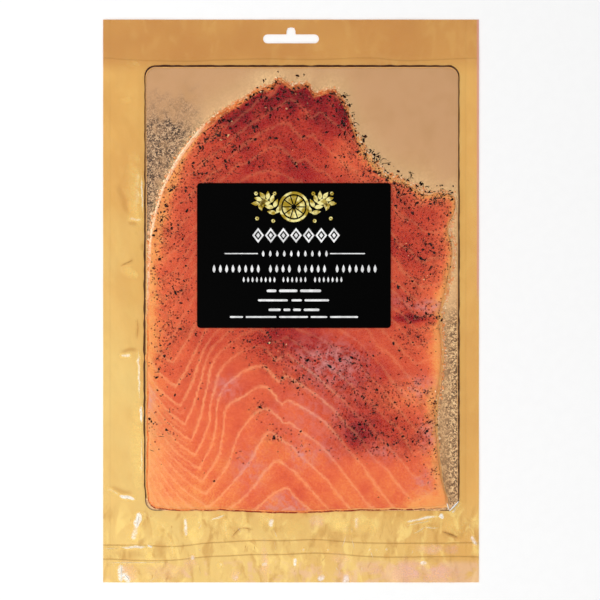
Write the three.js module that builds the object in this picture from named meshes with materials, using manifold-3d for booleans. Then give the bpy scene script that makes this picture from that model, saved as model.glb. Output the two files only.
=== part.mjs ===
// A vacuum pack of seasoned smoked salmon slices, lying on its back with the window up.
//
// Millimetres, +Z up. The origin is on the surface that the pack lies on, at the centre of
// the pouch's outline, and +Y runs up the pouch to its hang slot. From the bottom: a gold
// back sheet, a gold card board, three slices of salmon, the clear film, and a label.
import * as THREE from "three";
import { mergeVertices } from "three/addons/utils/BufferGeometryUtils.js";
import Module from "manifold-3d";

// ---- Driving dimensions ----

const PACK = { width: 215, length: 322 };
const SHEET_THICKNESS = 0.5;
const FILM_THICKNESS = 0.3;

// A euro slot: a round-ended bar with a small round hump over its middle.
const SLOT = { length: 32, height: 5.2, centreY: 150, humpWidth: 5.2, humpTop: 156.6 };

// The board has three rounded corners and one cut corner, at the lower right.
const BOARD = {
  width: 179.6,
  length: 254.4,
  thickness: 1,
  centreX: 6.3,
  centreY: 7.2,
  radius: 6,
  cut: 5,
};

const LABEL = {
  width: 110.4,
  length: 82.6,
  thickness: 0.3,
  centreX: 1.7,
  centreY: 25.9,
  radius: 2,
};

const SLICE_THICKNESS = 2;
const TOP_SLICE_THICKNESS = 2.1;
const SLICE_RELIEF = 0.35; // how far the top slice's hollows lie under its high places
const GRAIN_ROOM = 0.5; // space over the top slice for the seasoning on it

// The stack's middle, from which its edge is seen all round.
const STACK_CENTRE = new THREE.Vector2(-0.6, -10.9);

// The stack's edge, anticlockwise from the lower right corner: a torn, lumpy upper edge
// between straight flanks, with a shoulder that steps out to the right.
const STACK_EDGE = [
  [90.0, -117.0],
  [86.9, -102.4],
  [83.6, -65.2],
  [87.6, -33.7],
  [86.4, -6.9],
  [90.0, 8.0],
  [93.6, 29.7],
  [91.0, 42.3],
  [94.2, 50.5],
  [94.6, 60.2],
  [85.0, 62.8],
  [79.0, 61.6],
  [70.9, 66.2],
  [53.8, 73.6],
  [42.3, 87.4],
  [34.9, 102.6],
  [30.6, 115.0],
  [23.0, 121.6],
  [13.6, 119.0],
  [9.6, 124.4],
  [0.6, 123.8],
  [-6.8, 127.4],
  [-11.0, 123.6],
  [-18.0, 121.6],
  [-31.0, 113.6],
  [-48.0, 102.6],
  [-62.0, 86.6],
  [-73.6, 65.4],
  [-80.6, 37.0],
  [-82.3, 0.6],
  [-82.3, -79.5],
  [-81.6, -115.0],
  [-78.0, -118.6],
  [-40.0, -119.8],
  [-3.4, -121.4],
  [40.0, -119.8],
  [86.0, -118.4],
];
const POINTS_PER_STRETCH = 3;

// How far the upper slices draw back from the edge of the lowest one.
const STEP_BACK = { middle: 0.9, top: 1.6, topAtTornEdge: 3.0 };
const TORN_EDGE = { from: 0.9, to: 2.35 }; // directions of the torn upper edge, in radians
const RAGGEDNESS = 0.8;

// The film falls from the stack's top to the board and the back sheet in a slanted skirt.
const FILM_FOLD = { inset: 1.5, shoulder: 0.7, knee: 1.9, foot: 4.6 };
const SKIRT_REACH = { near: 6, far: 12, widest: 1.25 * Math.PI };
const BOARD_FOLD = { clear: 0.9, foot: 5 };
const FILM_GAP = 0.3;

// Seasoning: cracked pepper, dill strips and bits of lemon peel, half sunk in the top slice.
const SEASONING = { count: 165, tries: 9000, spacing: 2.7, edgeMargin: 3.2, labelMargin: 2 };
const GRAIN_SIZE = { largest: 0.72, smallest: 0.46 };

const COLOURS = {
  goldSheet: 0xe3b368,
  goldBoard: 0xc99b67,
  salmonTop: 0xc44f36,
  salmonMiddle: 0xdf7444,
  salmonBottom: 0xe98a4e,
  film: 0xfff6e6,
  label: 0x060606,
};

// ---- Heights worked out from the dimensions ----

const BOARD_BASE = SHEET_THICKNESS;
const STACK_BASE = BOARD_BASE + BOARD.thickness;
const MIDDLE_BASE = STACK_BASE + SLICE_THICKNESS;
const TOP_BASE = MIDDLE_BASE + SLICE_THICKNESS;
const STACK_TOP = TOP_BASE + TOP_SLICE_THICKNESS;
const FILM_TOP = STACK_TOP + GRAIN_ROOM + FILM_THICKNESS;
const FILM_ON_BOARD = STACK_BASE + FILM_GAP + FILM_THICKNESS;
const FILM_ON_SHEET = SHEET_THICKNESS + FILM_THICKNESS;

// ---- Small helpers ----

const wasm = await Module();
wasm.setup();

/** A repeatable stream of numbers between 0 and 1. */
function seededRandom(seed) {
  let state = seed;
  return () => {
    state = (state * 1664525 + 1013904223) >>> 0;
    return state / 4294967296;
  };
}

/** Takes a value from one pair of limits to another, level beyond both. */
function remap(value, fromLow, fromHigh, toLow, toHigh) {
  const share = THREE.MathUtils.clamp((value - fromLow) / (fromHigh - fromLow), 0, 1);
  return toLow + share * (toHigh - toLow);
}

/** A closed geometry as a solid that can be joined and cut. */
function toSolid(geometry) {
  const bare = geometry.clone();
  bare.deleteAttribute("normal");
  bare.deleteAttribute("uv");
  const merged = mergeVertices(bare, 1e-4);
  return new wasm.Manifold(
    new wasm.Mesh({
      numProp: 3,
      vertProperties: merged.attributes.position.array,
      triVerts: new Uint32Array(merged.index.array),
    }),
  );
}

/** A joined or cut solid as a geometry. */
function toGeometry(solid) {
  const mesh = solid.getMesh();
  const geometry = new THREE.BufferGeometry();
  geometry.setAttribute("position", new THREE.BufferAttribute(mesh.vertProperties, 3));
  geometry.setIndex(new THREE.BufferAttribute(mesh.triVerts, 1));
  geometry.computeVertexNormals();
  return geometry;
}

/** A named piece with its own material. */
function piece(name, geometry, color, roughness, metalness = 0, opacity = 1) {
  const transparent = opacity < 1;
  const material = new THREE.MeshStandardMaterial({
    color,
    roughness,
    metalness,
    opacity,
    transparent,
  });
  const mesh = new THREE.Mesh(geometry, material);
  mesh.name = name;
  return mesh;
}

/** A flat plate: an outline pushed up from a height by a thickness. */
function plate(outline, base, thickness, curveSegments = 6) {
  const geometry = new THREE.ExtrudeGeometry(outline, {
    depth: thickness,
    bevelEnabled: false,
    curveSegments,
  });
  return geometry.translate(0, 0, base);
}

/** Traces a rectangle with rounded corners; the lower right one may be cut straight. */
function roundedRectangle({ width, length, centreX = 0, centreY = 0, radius, cut = 0 }) {
  const left = centreX - width / 2;
  const right = centreX + width / 2;
  const bottom = centreY - length / 2;
  const top = centreY + length / 2;
  const shape = new THREE.Shape();
  shape.moveTo(left + radius, bottom);
  if (cut > 0) {
    shape.lineTo(right - cut, bottom);
    shape.lineTo(right, bottom + cut);
  } else {
    shape.lineTo(right - radius, bottom);
    shape.absarc(right - radius, bottom + radius, radius, -Math.PI / 2, 0);
  }
  shape.lineTo(right, top - radius);
  shape.absarc(right - radius, top - radius, radius, 0, Math.PI / 2);
  shape.lineTo(left + radius, top);
  shape.absarc(left + radius, top - radius, radius, Math.PI / 2, Math.PI);
  shape.lineTo(left, bottom + radius);
  shape.absarc(left + radius, bottom + radius, radius, Math.PI, Math.PI * 1.5);
  return shape;
}

// ---- The stack's edge, as a distance from its centre in each direction ----

/** Samples the edge curve as directions and distances, in order of direction. */
function sampleEdge(pointsPerStretch) {
  const corners = STACK_EDGE.map(([x, y]) => new THREE.Vector3(x, y, 0));
  const curve = new THREE.CatmullRomCurve3(corners, true, "centripetal");
  const samples = curve.getPoints(STACK_EDGE.length * pointsPerStretch).slice(1);
  return samples
    .map((point) => {
      const arm = new THREE.Vector2(point.x, point.y).sub(STACK_CENTRE);
      return { angle: arm.angle(), radius: arm.length() };
    })
    .sort((a, b) => a.angle - b.angle);
}

const FINE_EDGE = sampleEdge(12);

/** Distance from the stack's centre to its edge in one direction. */
function edgeRadius(angle) {
  const turn = 2 * Math.PI;
  const wanted = ((angle % turn) + turn) % turn;
  const found = FINE_EDGE.findIndex((sample) => sample.angle >= wanted);
  const last = FINE_EDGE.length - 1;
  const after = FINE_EDGE[found < 0 ? 0 : found];
  const before = FINE_EDGE[found <= 0 ? last : found - 1];
  const span = (after.angle - before.angle + turn) % turn;
  const share = ((wanted - before.angle + turn) % turn) / span;
  return THREE.MathUtils.lerp(before.radius, after.radius, share);
}

/** The point at a distance from the stack's centre, in one direction. */
function pointAt(angle, radius) {
  return new THREE.Vector2(Math.cos(angle), Math.sin(angle))
    .multiplyScalar(radius)
    .add(STACK_CENTRE);
}

/** The four corners of a rectangle, grown by a margin. */
function cornersOf({ width, length, centreX = 0, centreY = 0 }, margin = 0) {
  const halfWidth = width / 2 + margin;
  const halfLength = length / 2 + margin;
  return [
    new THREE.Vector2(centreX - halfWidth, centreY - halfLength),
    new THREE.Vector2(centreX + halfWidth, centreY - halfLength),
    new THREE.Vector2(centreX + halfWidth, centreY + halfLength),
    new THREE.Vector2(centreX - halfWidth, centreY + halfLength),
  ];
}

/** Distance from the stack's centre to a rectangle's side, in one direction. */
function rectangleRadius(rectangle, margin, angle) {
  const [low, , high] = cornersOf(rectangle, margin);
  const alongX = Math.cos(angle);
  const alongY = Math.sin(angle);
  const sideX = (alongX > 0 ? high.x : low.x) - STACK_CENTRE.x;
  const sideY = (alongY > 0 ? high.y : low.y) - STACK_CENTRE.y;
  return Math.min(sideX / alongX || Infinity, sideY / alongY || Infinity);
}

/** How far a point lies outside a rectangle; negative inside it. */
function outsideRectangle({ width, length, centreX = 0, centreY = 0 }, point) {
  return Math.max(
    Math.abs(point.x - centreX) - width / 2,
    Math.abs(point.y - centreY) - length / 2,
  );
}

/**
 * A closed solid from rings of points round the stack's centre. The rings run from the top
 * face out over the edge and back under; each gives a distance and a height by direction.
 */
function ringSolid(angles, topHeight, rings, bottomHeight) {
  const count = angles.length;
  const positions = [STACK_CENTRE.x, STACK_CENTRE.y, topHeight];
  rings.forEach((ring) =>
    angles.forEach((angle) => {
      const { radius, height } = ring(angle);
      const point = pointAt(angle, radius);
      positions.push(point.x, point.y, height);
    }),
  );
  positions.push(STACK_CENTRE.x, STACK_CENTRE.y, bottomHeight);
  const bottomCentre = 1 + rings.length * count;
  const faces = [];
  for (let i = 0; i < count; i++) {
    const next = (i + 1) % count;
    faces.push(0, 1 + i, 1 + next);
    for (let ring = 0; ring < rings.length - 1; ring++) {
      const inner = 1 + ring * count;
      const outer = inner + count;
      faces.push(inner + i, outer + i, outer + next);
      faces.push(inner + i, outer + next, inner + next);
    }
    const last = bottomCentre - count;
    faces.push(bottomCentre, last + next, last + i);
  }
  const geometry = new THREE.BufferGeometry();
  geometry.setAttribute("position", new THREE.Float32BufferAttribute(positions, 3));
  geometry.setIndex(faces);
  geometry.computeVertexNormals();
  return geometry;
}

// ---- Gold back sheet, with the hang slot through it ----

/** The hang slot's outline, traced round a bar with a hump on its upper side. */
function slotOutline(PathClass) {
  const radius = SLOT.height / 2;
  const reach = SLOT.length / 2 - radius;
  const humpRadius = SLOT.humpWidth / 2;
  const humpCentre = SLOT.humpTop - humpRadius;
  const top = SLOT.centreY + radius;
  const path = new PathClass();
  path.moveTo(-reach, SLOT.centreY - radius);
  path.lineTo(reach, SLOT.centreY - radius);
  path.absarc(reach, SLOT.centreY, radius, -Math.PI / 2, Math.PI / 2);
  path.lineTo(humpRadius, top);
  path.lineTo(humpRadius, humpCentre);
  path.absarc(0, humpCentre, humpRadius, 0, Math.PI);
  path.lineTo(-humpRadius, top);
  path.lineTo(-reach, top);
  path.absarc(-reach, SLOT.centreY, radius, Math.PI / 2, Math.PI * 1.5);
  return path;
}

function makeBackSheet() {
  const outline = new THREE.Shape(cornersOf(PACK));
  outline.holes.push(slotOutline(THREE.Path));
  return plate(outline, 0, SHEET_THICKNESS);
}

// ---- Salmon slices ----

/** A small uneven draw-in of a slice's edge, largest along the torn upper edge. */
function ragged(angle, phase) {
  const waves =
    Math.sin(23 * angle + phase) + 0.7 * Math.sin(41 * angle + 2.3 * phase);
  const torn = angle > TORN_EDGE.from && angle < TORN_EDGE.to ? 1 : 0.25;
  return RAGGEDNESS * torn * (0.5 + 0.3 * waves);
}

/** How far the top slice's edge lies inside the lowest slice's. */
function topStepBack(angle) {
  const middle = (TORN_EDGE.from + TORN_EDGE.to) / 2;
  const halfSpan = (TORN_EDGE.to - TORN_EDGE.from) / 2;
  const nearness = remap(Math.abs(angle - middle), 0, halfSpan * 1.2, 1, 0);
  const back = THREE.MathUtils.lerp(STEP_BACK.top, STEP_BACK.topAtTornEdge, nearness);
  return back + ragged(angle, 1.7);
}

/** The top slice's upper surface: slow swells that run across it, with fibres' hollows. */
function topSurface(point) {
  const swell = Math.sin(point.x * 0.055 + 0.4) * Math.cos(point.y * 0.043 - 0.8);
  const flake = Math.sin(point.y * 0.19 + Math.abs(point.x + 12) * 0.13);
  return STACK_TOP - SLICE_RELIEF * (0.5 + 0.32 * swell + 0.18 * flake);
}

function makeLowerSlice(angles, base, stepBack) {
  const top = base + SLICE_THICKNESS;
  const edge = (inset, height) => (angle) => ({
    radius: edgeRadius(angle) - stepBack(angle) - inset,
    height,
  });
  const rings = [edge(0.6, top), edge(0, base + 0.55 * SLICE_THICKNESS), edge(0.4, base)];
  return ringSolid(angles, top, rings, base);
}

function makeTopSlice(angles) {
  const outer = (angle) => edgeRadius(angle) - topStepBack(angle);
  const across = [0.16, 0.34, 0.5, 0.66, 0.8, 0.91].map((share) => (angle) => {
    const radius = share * outer(angle);
    return { radius, height: topSurface(pointAt(angle, radius)) };
  });
  const shoulder = (angle) => {
    const radius = outer(angle) - 1.6;
    return { radius, height: topSurface(pointAt(angle, radius)) - 0.1 };
  };
  const nose = (angle) => ({
    radius: outer(angle),
    height: TOP_BASE + 0.5 * TOP_SLICE_THICKNESS,
  });
  const foot = (angle) => ({ radius: outer(angle) - 0.5, height: TOP_BASE });
  const rings = [...across, shoulder, nose, foot];
  return ringSolid(angles, topSurface(STACK_CENTRE), rings, TOP_BASE);
}

// ---- Seasoning ----

/** How thickly the seasoning lies at a point, from 0 to 1. */
function seasoningDensity(point, inset) {
  const tornEdge = point.y > 45 ? remap(inset, 4, 34, 1, 0.3) : 0;
  const leftFlank = point.x < -48 && point.y > -75 ? 0.5 : 0;
  const rightHalf = point.x > 30 && point.y > -75 ? 0.62 : 0;
  const crossBand = remap(Math.abs(point.y + 35), 14, 34, 0.7, 0);
  const bandShare = remap(point.x, -30, 20, 0.15, 1);
  return Math.max(tornEdge, leftFlank, rightHalf, crossBand * bandShare, 0.04);
}

/** Seeded places for the grains on the top slice, clear of each other and of the label. */
function seasoningPlaces(random) {
  const places = [];
  for (let attempt = 0; attempt < SEASONING.tries; attempt++) {
    const angle = random() * 2 * Math.PI;
    const outer = edgeRadius(angle) - topStepBack(angle);
    const radius = Math.sqrt(random()) * outer;
    const chance = random();
    const point = pointAt(angle, radius);
    const inset = outer - radius;
    const crowded = places.some((other) => other.distanceTo(point) < SEASONING.spacing);
    const underLabel = outsideRectangle(LABEL, point) < SEASONING.labelMargin;
    if (crowded || underLabel || inset < SEASONING.edgeMargin) continue;
    if (chance > seasoningDensity(point, inset)) continue;
    places.push(point);
    if (places.length === SEASONING.count) break;
  }
  return places;
}

/** One grain: cracked pepper, a strip of dill, or a crumb of lemon peel. */
function grainGeometry(kind, size) {
  if (kind < 0.62) return new THREE.IcosahedronGeometry(size, 0);
  if (kind < 0.82) return new THREE.BoxGeometry(size * 4.2, size * 0.9, size * 1.1);
  return new THREE.OctahedronGeometry(size * 1.1, 0);
}

/** All grains, as one solid of many separate bodies. */
function makeSeasoning() {
  const random = seededRandom(227);
  const sizeStep = (GRAIN_SIZE.largest - GRAIN_SIZE.smallest) / SEASONING.count;
  const grains = seasoningPlaces(random).map((point, index) => {
    const size = GRAIN_SIZE.largest - sizeStep * index;
    const grain = grainGeometry(random(), size);
    grain.scale(0.8 + 0.4 * random(), 1, 0.8);
    grain.rotateZ(random() * Math.PI);
    const sunk = topSurface(point) - 0.35 * size;
    grain.translate(point.x, point.y, sunk);
    return toSolid(grain);
  });
  return wasm.Manifold.compose(grains);
}

// ---- Clear film ----

/** The film's height over the stack and its skirt, from the distance outside the stack. */
function skirtHeight(outside, reach) {
  const { inset, shoulder, knee, foot } = FILM_FOLD;
  const drop = FILM_TOP - FILM_ON_BOARD;
  if (outside <= -inset) return FILM_TOP;
  if (outside <= shoulder) {
    return remap(outside, -inset, shoulder, FILM_TOP, FILM_ON_BOARD + 0.62 * drop);
  }
  if (outside <= knee) {
    const high = FILM_ON_BOARD + 0.62 * drop;
    return remap(outside, shoulder, knee, high, FILM_ON_BOARD + 0.33 * drop);
  }
  if (outside <= foot) {
    const high = FILM_ON_BOARD + 0.33 * drop;
    return remap(outside, knee, foot, high, FILM_ON_BOARD + 0.1 * drop);
  }
  return remap(outside, foot, reach, FILM_ON_BOARD + 0.1 * drop, FILM_ON_SHEET);
}

/** How far the film's skirt reaches out: widest at the lower left, least at the upper right. */
function skirtReach(angle) {
  const share = 0.5 + 0.5 * Math.cos(angle - SKIRT_REACH.widest);
  return THREE.MathUtils.lerp(SKIRT_REACH.near, SKIRT_REACH.far, share);
}

/** The height of the film's upper face at a point, seen in one direction from the centre. */
function filmHeight(angle, radius) {
  const outsideBoard = outsideRectangle(BOARD, pointAt(angle, radius));
  const { clear, foot } = BOARD_FOLD;
  const lying = remap(outsideBoard, clear, foot, FILM_ON_BOARD, FILM_ON_SHEET);
  const skirt = skirtHeight(radius - edgeRadius(angle), skirtReach(angle));
  return Math.max(lying, skirt);
}

/** The distances at which the film bends, in order outwards, for one direction. */
function filmBends(angle) {
  const edge = edgeRadius(angle);
  const limit = rectangleRadius(PACK, 0, angle) - 0.8;
  const { inset, shoulder, knee, foot } = FILM_FOLD;
  const bends = [-inset, shoulder, knee, foot, skirtReach(angle)].map((d) => edge + d);
  bends.push(rectangleRadius(BOARD, BOARD_FOLD.clear, angle));
  bends.push(rectangleRadius(BOARD, BOARD_FOLD.foot, angle));
  bends.sort((a, b) => a - b);
  return bends.map((radius, index) => {
    const fromInside = Math.max(radius, bends[0] + 0.6 * index);
    return Math.min(fromInside, limit - 0.6 * (bends.length - 1 - index));
  });
}

function makeFilm(angles) {
  const order = [0, 1, 2, 3, 4, 5, 6];
  const upper = order.map((bend) => (angle) => {
    const radius = filmBends(angle)[bend];
    return { radius, height: filmHeight(angle, radius) };
  });
  const rim = (height) => (angle) => ({ radius: rectangleRadius(PACK, 0, angle), height });
  const under = order.toReversed().map((bend) => (angle) => {
    const radius = filmBends(angle)[bend];
    const height = filmHeight(angle, radius) - FILM_THICKNESS;
    const lifted = remap(height - SHEET_THICKNESS, 0, 1, 0, FILM_THICKNESS);
    return { radius: radius - lifted, height };
  });
  const rings = [...upper, rim(FILM_ON_SHEET), rim(SHEET_THICKNESS), ...under];
  const whole = ringSolid(angles, FILM_TOP, rings, FILM_TOP - FILM_THICKNESS);
  const slot = plate(slotOutline(THREE.Shape), -1, FILM_TOP);
  return toGeometry(toSolid(whole).subtract(toSolid(slot)));
}

// ---- Assembly ----

const sliceAngles = sampleEdge(POINTS_PER_STRETCH).map((sample) => sample.angle);
const cornerAngles = [...cornersOf(PACK), ...cornersOf(BOARD, BOARD_FOLD.clear)].map(
  (corner) => corner.sub(STACK_CENTRE).angle(),
);
const filmAngles = [...sliceAngles, ...cornerAngles].sort((a, b) => a - b);

const board = plate(roundedRectangle(BOARD), BOARD_BASE, BOARD.thickness);
const bottomSlice = makeLowerSlice(sliceAngles, STACK_BASE, () => 0);
const middleSlice = makeLowerSlice(
  sliceAngles,
  MIDDLE_BASE,
  (angle) => STEP_BACK.middle + ragged(angle, 0.4),
);
const seasonedSlice = toSolid(makeTopSlice(sliceAngles)).add(makeSeasoning());
const label = plate(roundedRectangle(LABEL), FILM_TOP, LABEL.thickness);

const pack = new THREE.Group();
pack.name = "smoked_salmon_pack";
pack.add(
  piece("gold_back_sheet", makeBackSheet(), COLOURS.goldSheet, 0.35, 0.6),
  piece("gold_board", board, COLOURS.goldBoard, 0.5, 0.4),
  piece("salmon_slice_bottom", bottomSlice, COLOURS.salmonBottom, 0.4),
  piece("salmon_slice_middle", middleSlice, COLOURS.salmonMiddle, 0.4),
  piece("salmon_slice_top", toGeometry(seasonedSlice), COLOURS.salmonTop, 0.35),
  piece("clear_film", makeFilm(filmAngles), COLOURS.film, 0.1, 0, 0.15),
  piece("label", label, COLOURS.label, 0.45),
);

export default pack;
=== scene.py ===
"""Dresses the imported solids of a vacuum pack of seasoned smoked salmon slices.

The classes hold their sizes in millimetres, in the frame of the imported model, and a mesh is
written in metres. Each class builds one sub-assembly of the pack: the gold laminate back
sheet, the gold card board, the slices, their seasoning, the clear film and the label.
"""

import logging
import math
from dataclasses import dataclass, field
from enum import Enum
from functools import partial, reduce
from typing import Any, Callable

import bpy
import numpy as np
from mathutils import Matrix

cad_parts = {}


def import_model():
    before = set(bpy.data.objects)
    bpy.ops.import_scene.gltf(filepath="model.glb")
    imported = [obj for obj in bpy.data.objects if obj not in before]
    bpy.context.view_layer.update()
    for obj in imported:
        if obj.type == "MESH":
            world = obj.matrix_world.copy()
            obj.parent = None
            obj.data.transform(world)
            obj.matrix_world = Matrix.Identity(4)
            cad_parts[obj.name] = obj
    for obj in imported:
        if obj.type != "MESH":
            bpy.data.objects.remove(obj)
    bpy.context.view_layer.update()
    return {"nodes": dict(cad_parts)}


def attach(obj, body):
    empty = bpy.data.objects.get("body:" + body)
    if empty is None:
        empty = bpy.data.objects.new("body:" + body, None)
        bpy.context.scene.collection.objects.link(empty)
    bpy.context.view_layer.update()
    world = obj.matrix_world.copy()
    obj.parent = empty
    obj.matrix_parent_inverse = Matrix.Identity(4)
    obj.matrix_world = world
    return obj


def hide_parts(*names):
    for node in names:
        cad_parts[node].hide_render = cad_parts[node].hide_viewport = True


LOG = logging.getLogger("salmon_pack")
MM = 0.001

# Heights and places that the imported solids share.
PACK_WIDTH, PACK_LENGTH = 215, 322
BEYOND_PACK = 220
SHEET_TOP = 0.5
BOARD_TOP = 1.5
STACK_TOP = 7.6
FILM_TOP = 8.4
FILM_ON_BOARD = 2.1
FILM_ON_SHEET = 0.8
STACK_CENTRE = (-0.6, -10.9)
FULL_TURN = 2 * math.pi

Array = np.ndarray
Piece = bpy.types.Object
Point = tuple[float, float]
Pair = tuple[Array, Array]


# ---- Numbers ----


def ramp(value: Array, low: float, high: float) -> Array:
    """Rise smoothly from 0 at one limit to 1 at the other; the limits may run downwards."""
    share = np.clip((value - low) / (high - low), 0, 1)
    return share * share * (3 - 2 * share)


def blob(x: Array, y: Array, place: Point, reach: Point) -> Array:
    """Give a soft patch that is 1 at its place and falls off over its reach in x and in y."""
    return np.exp(-(((x - place[0]) / reach[0]) ** 2) - ((y - place[1]) / reach[1]) ** 2)


def each(kind: Callable[..., Any], *rows: tuple[Any, ...]) -> tuple[Any, ...]:
    """Make a thing of one kind from each row of numbers."""
    return tuple(kind(*row) for row in rows)


@dataclass(frozen=True)
class Patch:
    """A soft patch: its middle, its reach in x and in y, and how much it adds there."""

    place: Point
    reach: Point
    amount: float

    def share(self, x: Array, y: Array) -> Array:
        """Give what the patch adds at places."""
        return self.amount * blob(x, y, self.place, self.reach)


@dataclass(frozen=True)
class Swell:
    """Seeded smooth unevenness over a surface, mostly between -1 and 1."""

    seed: int
    wavelength: float
    waves: int = 14

    def at(self, x: Array, y: Array) -> Array:
        """Sum the waves at places.

        Args:
            x, y: Places in mm.

        Returns:
            The unevenness at each place.
        """
        rng = np.random.default_rng(self.seed)
        total = np.zeros(np.broadcast(x, y).shape)
        for _ in range(self.waves):
            turn, phase, stretch = rng.uniform((0, 0, 0.6), (FULL_TURN, FULL_TURN, 1.7))
            pitch = FULL_TURN / (self.wavelength * stretch)
            total += np.sin(pitch * (x * math.cos(turn) + y * math.sin(turn)) + phase)
        return total / math.sqrt(self.waves * 1.6)


def polar(x: Array, y: Array) -> Pair:
    """Turn places into directions, from 0 to a full turn, and distances from the centre."""
    arm_x, arm_y = x - STACK_CENTRE[0], y - STACK_CENTRE[1]
    return np.arctan2(arm_y, arm_x) % FULL_TURN, np.hypot(arm_x, arm_y)


def at_polar(angle: Array, radius: Array) -> Pair:
    """Turn directions and distances from the stack's centre into places."""
    return STACK_CENTRE[0] + radius * np.cos(angle), STACK_CENTRE[1] + radius * np.sin(angle)


def find_rim(outside: Callable[[Array, Array], Array], angle: Array) -> Array:
    """Find an outline round the stack's centre by halving.

    Args:
        outside: Tells how far places lie outside the outline, negative inside it.
        angle: The directions.

    Returns:
        The outline's distances from the centre, in mm.
    """
    near, far = np.zeros_like(angle), np.full_like(angle, BEYOND_PACK)
    for _ in range(40):
        middle = (near + far) / 2
        inside = outside(*at_polar(angle, middle)) < 0
        near, far = np.where(inside, middle, near), np.where(inside, far, middle)
    return near


def top_surface(x: Array, y: Array) -> Array:
    """Give the height of the top slice's upper face: slow swells and the fibres' hollows."""
    swell = 0.32 * (np.sin(x * 0.055 + 0.4) * np.cos(y * 0.043 - 0.8))
    return STACK_TOP - 0.35 * (0.5 + swell + 0.18 * np.sin(y * 0.19 + np.abs(x + 12) * 0.13))


# ---- Meshes ----


def pick(*pieces: Piece) -> None:
    """Select pieces alone, or nothing, and make the last one active.

    Args:
        pieces: The pieces.
    """
    bpy.ops.object.select_all(action="DESELECT")
    for piece in pieces:
        piece.select_set(True)
        bpy.context.view_layer.objects.active = piece


def start_piece(name: str, add: Callable[..., Any], **sizes: Any) -> Piece:
    """Start a piece from a primitive, with nothing else selected.

    Args:
        name: The piece's name.
        add: The primitive's operator.
        sizes: The operator's settings.

    Returns:
        The piece.
    """
    pick()
    add(**sizes)
    piece = bpy.context.object
    piece.name = piece.data.name = name
    return piece


def read_points(piece: Piece) -> Array:
    """Read a piece's points.

    Args:
        piece: The piece.

    Returns:
        The points' x, their y and their z, in mm.
    """
    flat = np.empty(len(piece.data.vertices) * 3, np.float32)
    piece.data.vertices.foreach_get("co", flat)
    return flat.reshape(-1, 3).T.astype(float) / MM


def place_points(piece: Piece, x: Array, y: Array, z: Array) -> None:
    """Put a piece's points at new places.

    Args:
        piece: The piece.
        x, y, z: The places, in mm; each may be one number for all points.
    """
    points = np.column_stack([np.broadcast_to(values, len(piece.data.vertices)) for values in (x, y, z)])
    piece.data.vertices.foreach_set("co", (points * MM).astype(np.float32).ravel())
    piece.data.update()


def write_shares(piece: Piece, **shares: Array) -> None:
    """Store named numbers on each point, for the piece's material to read.

    Args:
        piece: The piece.
        shares: The numbers, one for each point, by their names.
    """
    for name, values in shares.items():
        layer = piece.data.attributes.new(name, "FLOAT", "POINT")
        layer.data.foreach_set("value", np.asarray(values, np.float32))


def edit(piece: Piece, *steps: Callable[[], Any], whole: bool = True) -> None:
    """Run edit-mode operators on a piece.

    Args:
        piece: The piece to edit.
        steps: Calls of operators, made in order.
        whole: Whether everything is selected first, and not what was selected before.
    """
    pick(piece)
    bpy.ops.object.mode_set(mode="EDIT")
    if whole:
        bpy.ops.mesh.select_all(action="SELECT")
    for step in steps:
        step()
    bpy.ops.object.mode_set(mode="OBJECT")


def merge_doubles(gap: float = 1e-4) -> None:
    """Join points that lie within a gap, in mm, of each other."""
    bpy.ops.mesh.remove_doubles(threshold=gap * MM)


def select_nothing() -> None:
    """Unselect all of the piece that is edited."""
    bpy.ops.mesh.select_all(action="DESELECT")


def face_outwards() -> None:
    """Turn every face of a closed body outwards."""
    bpy.ops.mesh.normals_make_consistent(inside=False)


def ring_grid(
    name: str, columns: int, rows: Array, outlines: Callable[[Array], list[Array]], corners: Array = ()
) -> tuple[Piece, Array, Array, Array]:
    """Add a grid whose columns go round the stack and whose rows are rings, from the middle on.

    Args:
        name: The piece's name.
        columns: The number of directions.
        rows: For each ring its share of each outline, and then what is added, in mm.
        outlines: Gives the outlines' distances from the stack's centre in directions.
        corners: Directions that a column has to meet.

    Returns:
        The piece, and each point's x and y in mm and its ring.
    """
    grid = bpy.ops.mesh.primitive_grid_add
    piece = start_piece(name, grid, x_subdivisions=columns, y_subdivisions=len(rows) - 1, size=2)
    right, up, _ = read_points(piece) * MM
    angle = np.rint((right + 1) / 2 * columns) % columns * FULL_TURN / columns
    for corner in corners:
        angle = np.where(np.abs(angle - corner) < FULL_TURN / columns / 2, corner, angle)
    ring = np.rint((1 - up) / 2 * (len(rows) - 1)).astype(int)
    radius = sum(share * outline for share, outline in zip(rows[ring].T, [*outlines(angle), 1]))
    return piece, *at_polar(angle, radius), ring


def mesh_piece(name: str, copies: Array, faces: Array) -> Piece:
    """Make one joined piece from copies of a shape, which are too many to model one by one.

    Args:
        name: The piece's name.
        copies: Each copy's points in mm, as rows of x, y and z.
        faces: The point numbers of the shape's triangles, one row each.

    Returns:
        The piece.
    """
    count, corners, _ = copies.shape
    numbers = faces + corners * np.arange(count)[:, None, None]
    mesh = bpy.data.meshes.new(name)
    mesh.from_pydata((copies.reshape(-1, 3) * MM).tolist(), [], numbers.reshape(-1, 3).tolist())
    piece = bpy.data.objects.new(name, mesh)
    bpy.context.scene.collection.objects.link(piece)
    return piece


def finish(piece: Piece, coat: "Finish", nodes: tuple[str, ...], angle: float = 60) -> None:
    """Dress a finished piece, fix it to the pack and report it.

    Args:
        piece: The piece, with its place in its mesh.
        coat: The finish that it gets.
        nodes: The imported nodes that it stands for; may be empty.
        angle: The sharpest bend, in degrees, that is still shaded smoothly.
    """
    pick(piece)
    bpy.ops.object.shade_smooth_by_angle(angle=math.radians(angle))
    piece.data.materials.append(coat.material())
    piece.visible_shadow = coat.shadow
    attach(piece, "root")
    if nodes:
        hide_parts(*nodes)
    piece.data.calc_loop_triangles()
    LOG.info("%s: %d triangles", piece.name, len(piece.data.loop_triangles))


# ---- Finishes ----


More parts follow.
